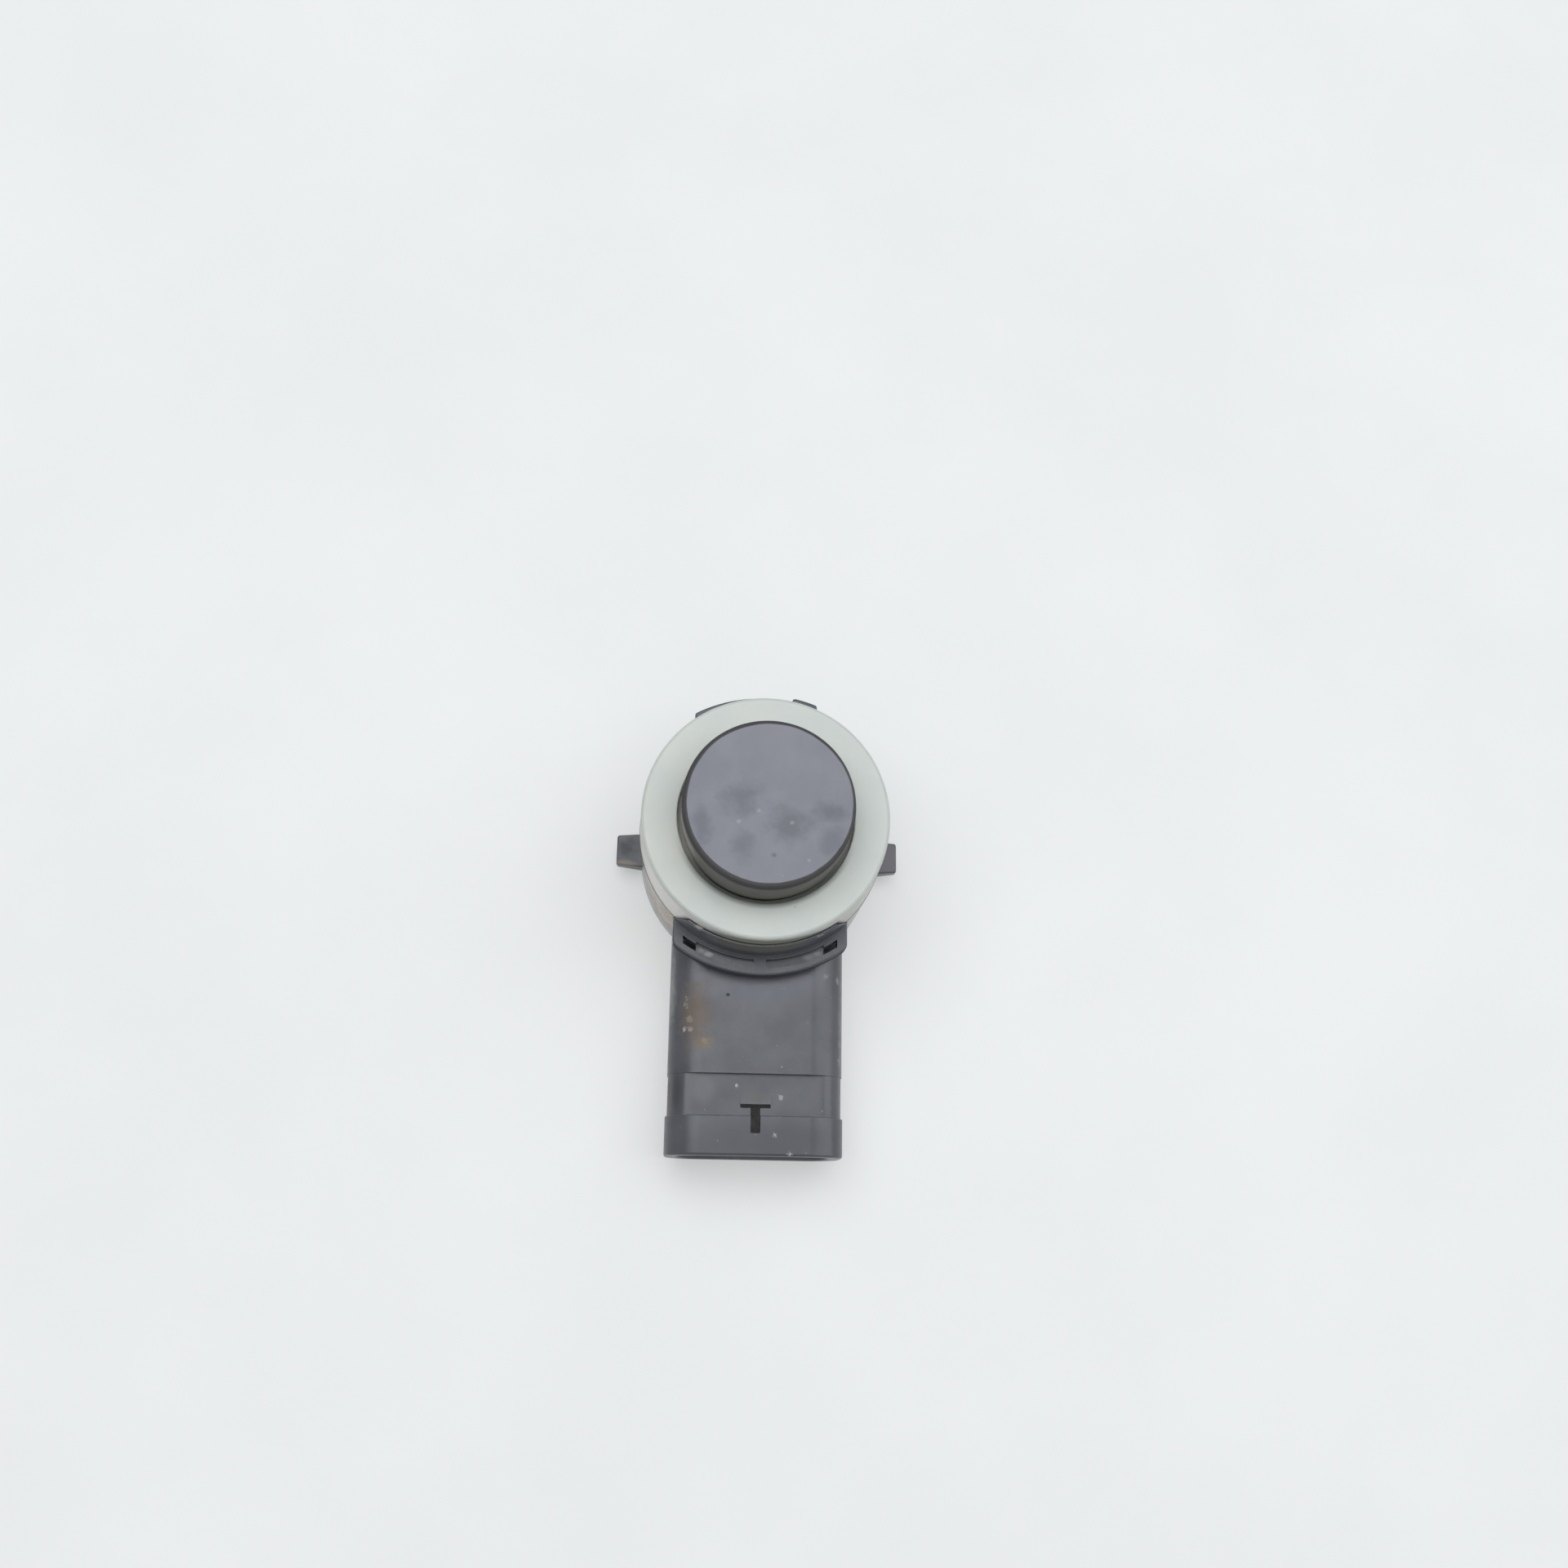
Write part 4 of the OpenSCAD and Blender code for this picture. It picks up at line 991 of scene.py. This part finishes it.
def housing_plastic():
    """Black nylon: two dark shades, then even effects, stains and painted light and shade, and dust, in
    layers.
    """
    material, tree, shader = start_finish("housing_plastic", IOR=1.55)
    out, height = away_from_axis(tree), height_of(tree)
    paint = drifting(tree, 230.0, colour(0.038, 0.041, 0.053), colour(0.060, 0.064, 0.078))
    paint = coat(tree, paint, use_group(tree, worn, radius=0.35 * MM)[0], 0.3, colour(0.13, 0.13, 0.135))
    # Painted light: a pale blue-grey on the socket's top near the flange, lifting the shade under it
    top = band(tree, height, 8.2, 8.7, 9.3, 9.6)
    painted_light_near_flange = calc(tree, "MULTIPLY", top, band(tree, out, 11.8, 12.4, 13.3, 18.0))
    paint = coat(tree, paint, painted_light_near_flange, 0.7, colour(0.135, 0.142, 0.170))
    # Painted shade: the flange's outer edge face near black
    painted_flange_shade = band(tree, height, 9.2, 9.4, 10.88, 10.98)
    painted_flange_shade = calc(tree, "MULTIPLY", painted_flange_shade, fade_mm(tree, out, 13.38, 13.46))
    paint = blend_colour(tree, painted_flange_shade, paint, colour(0.006, 0.007, 0.010))
    polish = band(tree, out, 11.4, 11.5, 11.62, 11.68)
    # Painted light: a warm pale film on the left of the polished barrel
    painted_warm_light_left = use_group(tree, patch, place=spot(-9.3, -7.2, 7.0), reach=spot(4.0, 6.0, 7.0), ragged=0.4)[0]
    painted_warm_light_left = calc(tree, "MULTIPLY", polish, painted_warm_light_left)
    paint = blend_colour(tree, painted_warm_light_left, paint, colour(0.370, 0.290, 0.210))
    dirt = calc(tree, "MULTIPLY_ADD", painted_warm_light_left, 0.12, painted_flange_shade)
    for kind, place, reach, tint, strength in STAINS_AND_PAINTED_LIGHT:
        scale, ragged, core, dullness = TEARS[kind]
        mask = use_group(tree, patch, place=place, reach=reach, scale=scale, ragged=ragged, core=core)[0]
        mask = calc(tree, "MULTIPLY", mask, strength)
        paint = blend_colour(tree, mask, paint, tint)
        dirt = calc(tree, "MULTIPLY_ADD", mask, dullness, dirt)
    for scale, share, size, strength in DUST:
        dust = use_group(tree, specks, scale=scale, share=share, size=size)[0]
        paint = coat(tree, paint, dust, strength, colour(0.34, 0.33, 0.32))
    tree.links.new(paint, shader["Base Color"])
    gloss = use_group(tree, mottle, scale=420.0, low=0.27, high=0.36)[0]
    gloss = calc(tree, "MULTIPLY_ADD", polish, -0.16, gloss)
    tree.links.new(calc(tree, "ADD", dirt, gloss), shader["Roughness"])
    relief(tree, shader, use_group(tree, skin, scale=7000.0)[0], depth=0.004)
    return material


finishes["housing_plastic"] = housing_plastic()
print("nodes in the body's finish:", len(finishes["housing_plastic"].node_tree.nodes))

# %% [markdown]
# ### Silicone of the soft ring
#
# The ring keeps the head's sound out of the bumper. It is pale grey-green and slightly tacky. Its front
# side just above the guard wall is darker olive, grime with painted shade of the gap there. Its left
# side is paler with painted light, and painted shade darkens its groove and its front edge. Silicone
# lets some light in, which the shader's subsurface weight gives.

# %% Ring silicone
def ring_silicone():
    """Pale silicone: two shades with a warm drift, a warmer side, painted light and shade, and dirt by the
    guard.
    """
    material, tree, shader = start_finish(
        "ring_silicone", Subsurface_Weight=0.3, Subsurface_Radius=(1.0, 1.0, 0.9),
        Subsurface_Scale=0.9 * MM, IOR=1.41)
    out, height = away_from_axis(tree), height_of(tree)
    forward = put(tree, "ShaderNodeSeparateXYZ", {0: here(tree)}).outputs["Y"]
    paint = drifting(tree, 180.0, colour(0.62, 0.66, 0.63), colour(0.68, 0.71, 0.67))
    warm = use_group(tree, mottle, scale=90.0, low=0.0, high=0.35)[0]
    paint = blend_colour(tree, warm, paint, colour(0.72, 0.70, 0.63))
    side = fade_mm(tree, height, 17.2, 16.6)
    paint = coat(tree, paint, side, 0.7, colour(0.66, 0.63, 0.57))
    # Painted light: paler on the left of the side
    painted_left_side_light = use_group(tree, patch, place=spot(-9.0, -7.0, 14.0), reach=spot(4.5, 7.5, 5.0), ragged=0.3)[0]
    painted_left_side_light = calc(tree, "MULTIPLY", painted_left_side_light, side)
    paint = blend_colour(tree, painted_left_side_light, paint, colour(0.90, 0.88, 0.83))
    # Painted shade in the groove round the head, on its near side
    inner = calc(tree, "MULTIPLY", fade_mm(tree, out, 8.75, 8.15), fade_mm(tree, forward, -2.0, -6.0))
    paint = coat(tree, paint, inner, 0.85, colour(0.190, 0.205, 0.180))
    # Painted shade along the rounded front edge
    painted_front_edge_shade = calc(tree, "MULTIPLY", fade_mm(tree, out, 11.06, 11.16), fade_mm(tree, height, 17.3, 17.4))
    paint = coat(tree, paint, painted_front_edge_shade, 0.5, colour(0.42, 0.45, 0.42))
    # Grime and painted shade on the front side, in the gap above the guard wall
    grime_and_gap_shade = use_group(tree, patch, place=spot(0, -11.4, 14.6), reach=spot(8.3, 5.0, 2.75), scale=700.0,
                      ragged=0.3, core=0.72)[0]
    paint = coat(tree, paint, grime_and_gap_shade, 0.9, colour(0.200, 0.210, 0.170))
    dust = use_group(tree, specks, scale=1100.0, share=0.02, size=0.16)[0]
    paint = coat(tree, paint, dust, 0.5, colour(0.35, 0.33, 0.28))
    tree.links.new(paint, shader["Base Color"])
    gloss = use_group(tree, mottle, scale=350.0, low=0.42, high=0.56)[0]
    tree.links.new(gloss, shader["Roughness"])
    relief(tree, shader, use_group(tree, skin, scale=4000.0)[0], depth=0.004)
    return material


finishes["ring_silicone"] = ring_silicone()
print("nodes in the ring's finish:", len(finishes["ring_silicone"].node_tree.nodes))

# %% [markdown]
# ### Paint of the sounding head
#
# The aluminium cup is sprayed in a blue-grey satin paint. Years of wiping have left cloudy smudges, a
# few pale flecks and one dark one on its face. A dark line runs round the rim. The side is painted
# shade, darker and browner than the face, with painted light towards its foot and a painted highlight
# as a pale stripe on its left. The smudges are ragged patches again. Where two overlap the stronger
# one counts, so that they don't add up to a black spot.

# %% Smudges and flecks of the head
# Place and reach in millimetres, strength
SMUDGES = (
    (spot(-2.6, 0.4, 22.0), spot(2.6, 2.3, 1.0), 0.7),
    (spot(1.7, -1.9, 22.0), spot(3.0, 2.6, 1.0), 0.75),
    (spot(5.4, -0.7, 22.0), spot(2.6, 1.2, 1.0), 0.75),
    (spot(-5.9, -2.2, 22.0), spot(1.3, 2.6, 1.0), 0.6),
    (spot(-2.3, -3.9, 22.0), spot(1.6, 2.2, 1.0), 0.55),
    (spot(5.6, -3.2, 22.0), spot(1.8, 2.0, 1.0), 0.5),
    (spot(0.5, -4.75, 22.0), spot(0.36, 0.32, 1.0), 1.0),
)
FLECKS = (
    spot(-0.93, -0.74, 22.0),
    spot(2.05, -1.72, 22.0),
    spot(-2.66, -1.75, 22.0),
    spot(3.57, -5.07, 22.0),
)
print("smudges:", len(SMUDGES), "flecks:", len(FLECKS))

# %% Membrane paint
def membrane_paint():
    """Blue-grey paint: smudges and flecks on the face, a dark rim, and a side in painted shade and light."""
    material, tree, shader = start_finish("membrane_paint", IOR=1.5)
    height = height_of(tree)
    paint = drifting(tree, 220.0, colour(0.176, 0.178, 0.212), colour(0.202, 0.203, 0.236))
    film = 0.0
    for place, reach, strength in SMUDGES:
        mask = use_group(tree, patch, place=place, reach=reach, scale=650.0, ragged=1.5, core=0.1)[0]
        film = calc(tree, "MAXIMUM", film, calc(tree, "MULTIPLY", mask, strength))
    paint = blend_colour(tree, film, paint, colour(0.100, 0.109, 0.127))
    for place in FLECKS:
        mask = use_group(tree, patch, place=place, reach=spot(0.26, 0.24, 1.0), scale=2500.0, ragged=1.6)[0]
        paint = coat(tree, paint, mask, 0.42, colour(0.36, 0.36, 0.37))
    face = use_group(tree, patch, place=spot(0.08, 0.06, 20.0), reach=spot(7.62, 7.53, 9.0), scale=300.0,
                     ragged=0.02, core=0.985)[0]
    rim = calc(tree, "SUBTRACT", 1.0, face)
    paint = coat(tree, paint, rim, 0.95, colour(0.014, 0.013, 0.012))
    # Painted shade: the side darker and browner than the face
    side = fade_mm(tree, height, 21.6, 21.2)
    paint = blend_colour(tree, side, paint, colour(0.098, 0.095, 0.082))
    # Painted light: the side lighter towards its foot, against the shade of the groove
    paint = coat(tree, paint, fade_mm(tree, height, 19.4, 17.4), 0.6, colour(0.150, 0.146, 0.126))
    # Painted highlight: a pale stripe down the left of the side
    painted_left_highlight = use_group(tree, patch, place=spot(-7.2, -2.4, 19.6), reach=spot(1.5, 4.8, 1.9), scale=1300.0,
                       ragged=1.3)[0]
    painted_left_highlight = calc(tree, "MULTIPLY", painted_left_highlight, side)
    paint = coat(tree, paint, painted_left_highlight, 0.75, colour(0.33, 0.31, 0.275))
    dust = use_group(tree, specks, scale=800.0, share=0.05, size=0.16)[0]
    paint = coat(tree, paint, dust, 0.35, colour(0.36, 0.36, 0.37))
    tree.links.new(paint, shader["Base Color"])
    gloss = use_group(tree, mottle, scale=300.0, low=0.34, high=0.44)[0]
    gloss = calc(tree, "MULTIPLY_ADD", rim, 0.22, gloss)
    tree.links.new(calc(tree, "MULTIPLY_ADD", film, 0.12, gloss), shader["Roughness"])
    relief(tree, shader, use_group(tree, skin, scale=3500.0)[0], depth=0.004)
    return material


finishes["membrane_paint"] = membrane_paint()
print("nodes in the head's finish:", len(finishes["membrane_paint"].node_tree.nodes))

# %% [markdown]
# ### Finishes of the parts inside
#
# The cover, the pins and the parts on the board show from below or when the body is opened. They
# share one recipe: two close shades, a drifting gloss and a skin whose grain suits the material. So a
# table with one row for each is enough.

# %% Plain finishes
# Name, dark and light shade, roughness, metal, grains in a metre, depth of the grain in millimetres
PLAIN_FINISHES = (
    ("cover_plastic", (0.040, 0.040, 0.044), (0.056, 0.056, 0.061), 0.55, 0.0, 5000.0, 0.010),
    ("piezo_ceramic", (0.60, 0.58, 0.52), (0.72, 0.70, 0.64), 0.38, 0.6, 3000.0, 0.004),
    ("pad_foam", (0.070, 0.074, 0.082), (0.115, 0.120, 0.130), 0.85, 0.0, 2500.0, 0.060),
    ("lead_copper", (0.62, 0.27, 0.14), (0.74, 0.36, 0.20), 0.30, 1.0, 4000.0, 0.004),
    ("board_laminate", (0.010, 0.072, 0.026), (0.016, 0.105, 0.040), 0.32, 0.0, 3500.0, 0.006),
    ("chip_resin", (0.010, 0.010, 0.011), (0.020, 0.020, 0.022), 0.48, 0.0, 8000.0, 0.006),
    ("ferrite", (0.030, 0.028, 0.027), (0.050, 0.047, 0.045), 0.60, 0.0, 6000.0, 0.012),
    ("winding_copper", (0.38, 0.13, 0.045), (0.50, 0.19, 0.07), 0.25, 1.0, 5000.0, 0.010),
    ("capacitor_body", (0.40, 0.22, 0.022), (0.50, 0.28, 0.034), 0.42, 0.0, 5000.0, 0.006),
    ("capacitor_ceramic", (0.30, 0.21, 0.115), (0.40, 0.28, 0.16), 0.45, 0.0, 6000.0, 0.006),
    ("terminal_tin", (0.55, 0.51, 0.40), (0.68, 0.64, 0.53), 0.36, 0.8, 3000.0, 0.004),
)
GLOSS_DRIFT = 0.06


def plain_finish(name, dark, light, gloss, metal, grain, depth):
    """A finish from one row of the table, with a little dust."""
    material, tree, shader = start_finish(name, Metallic=metal)
    paint = drifting(tree, grain * 0.2, colour(*dark), colour(*light))
    dust = use_group(tree, specks, scale=1200.0, share=0.01, size=0.12)[0]
    paint = coat(tree, paint, dust, 0.4, colour(0.4, 0.38, 0.35))
    tree.links.new(paint, shader["Base Color"])
    rough = use_group(tree, mottle, scale=grain * 0.3, low=gloss - GLOSS_DRIFT, high=gloss + GLOSS_DRIFT)[0]
    tree.links.new(rough, shader["Roughness"])
    relief(tree, shader, use_group(tree, skin, scale=grain)[0], depth)
    return material


for row in PLAIN_FINISHES:
    finishes[row[0]] = plain_finish(*row)
print("finishes:", len(finishes))

# %% [markdown]
# ## Finishes on their pieces
#
# The record of the CAD model says which material slot each piece has. The CAD pieces get their finish
# in that slot, and each new piece takes the place of the CAD piece that it was made for.

# %% Put the finishes on
slot_of = {part["node"]: part["material_slot"] for part in frame["record"]["subparts"]}
for name, node in nodes.items():
    node.material_slots[0].material = finishes[slot_of[name]]
for name, piece in shapes.items():
    piece.data.materials.append(finishes[slot_of[name]])
    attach(piece, "root")
    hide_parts(name)
print("CAD pieces:", len(nodes), "new pieces:", len(shapes))

# %% [markdown]
# ## Table
#
# The part lies on a white table with a faint pebble grain. A flat sheet is enough for its shape. Where
# the camera or a reflection sees it, a glow of its own colour takes the place of some of its shading,
# so that it looks white while the lamps stay at a plain level and the shadow still shows.

# %% Table
TABLE_REACH = 3.0
TABLE_LIFT = 0.4
TABLE_GLOW = 1.16

table_mesh = bpy.data.meshes.new("table")
corners = TABLE_REACH * np.array([(-1, -1, 0), (1, -1, 0), (1, 1, 0), (-1, 1, 0)], float)
table_mesh.from_pydata(corners.tolist(), [], [(0, 1, 2, 3)])
table = bpy.data.objects.new("table", table_mesh)
scene.collection.objects.link(table)
material, tree, shader = start_finish("table_top", Roughness=0.6)
paint = drifting(tree, 25.0, colour(0.80, 0.81, 0.81), colour(0.83, 0.84, 0.835))
tree.links.new(paint, shader["Base Color"])
relief(tree, shader, use_group(tree, skin, scale=1400.0)[0], depth=0.02)
glow = put(tree, "ShaderNodeEmission", {"Color": paint, "Strength": TABLE_GLOW}).outputs[0]
path = put(tree, "ShaderNodeLightPath").outputs
seen = calc(tree, "MAXIMUM", path["Is Camera Ray"], path["Is Glossy Ray"])
lift = calc(tree, "MULTIPLY", seen, TABLE_LIFT)
surface = tree.nodes["Material Output"].inputs["Surface"]
lit = put(tree, "ShaderNodeMixShader", {0: lift, 1: surface.links[0].from_socket, 2: glow})
tree.links.new(lit.outputs[0], surface)
table_mesh.materials.append(material)
print("table side in m:", 2 * TABLE_REACH)
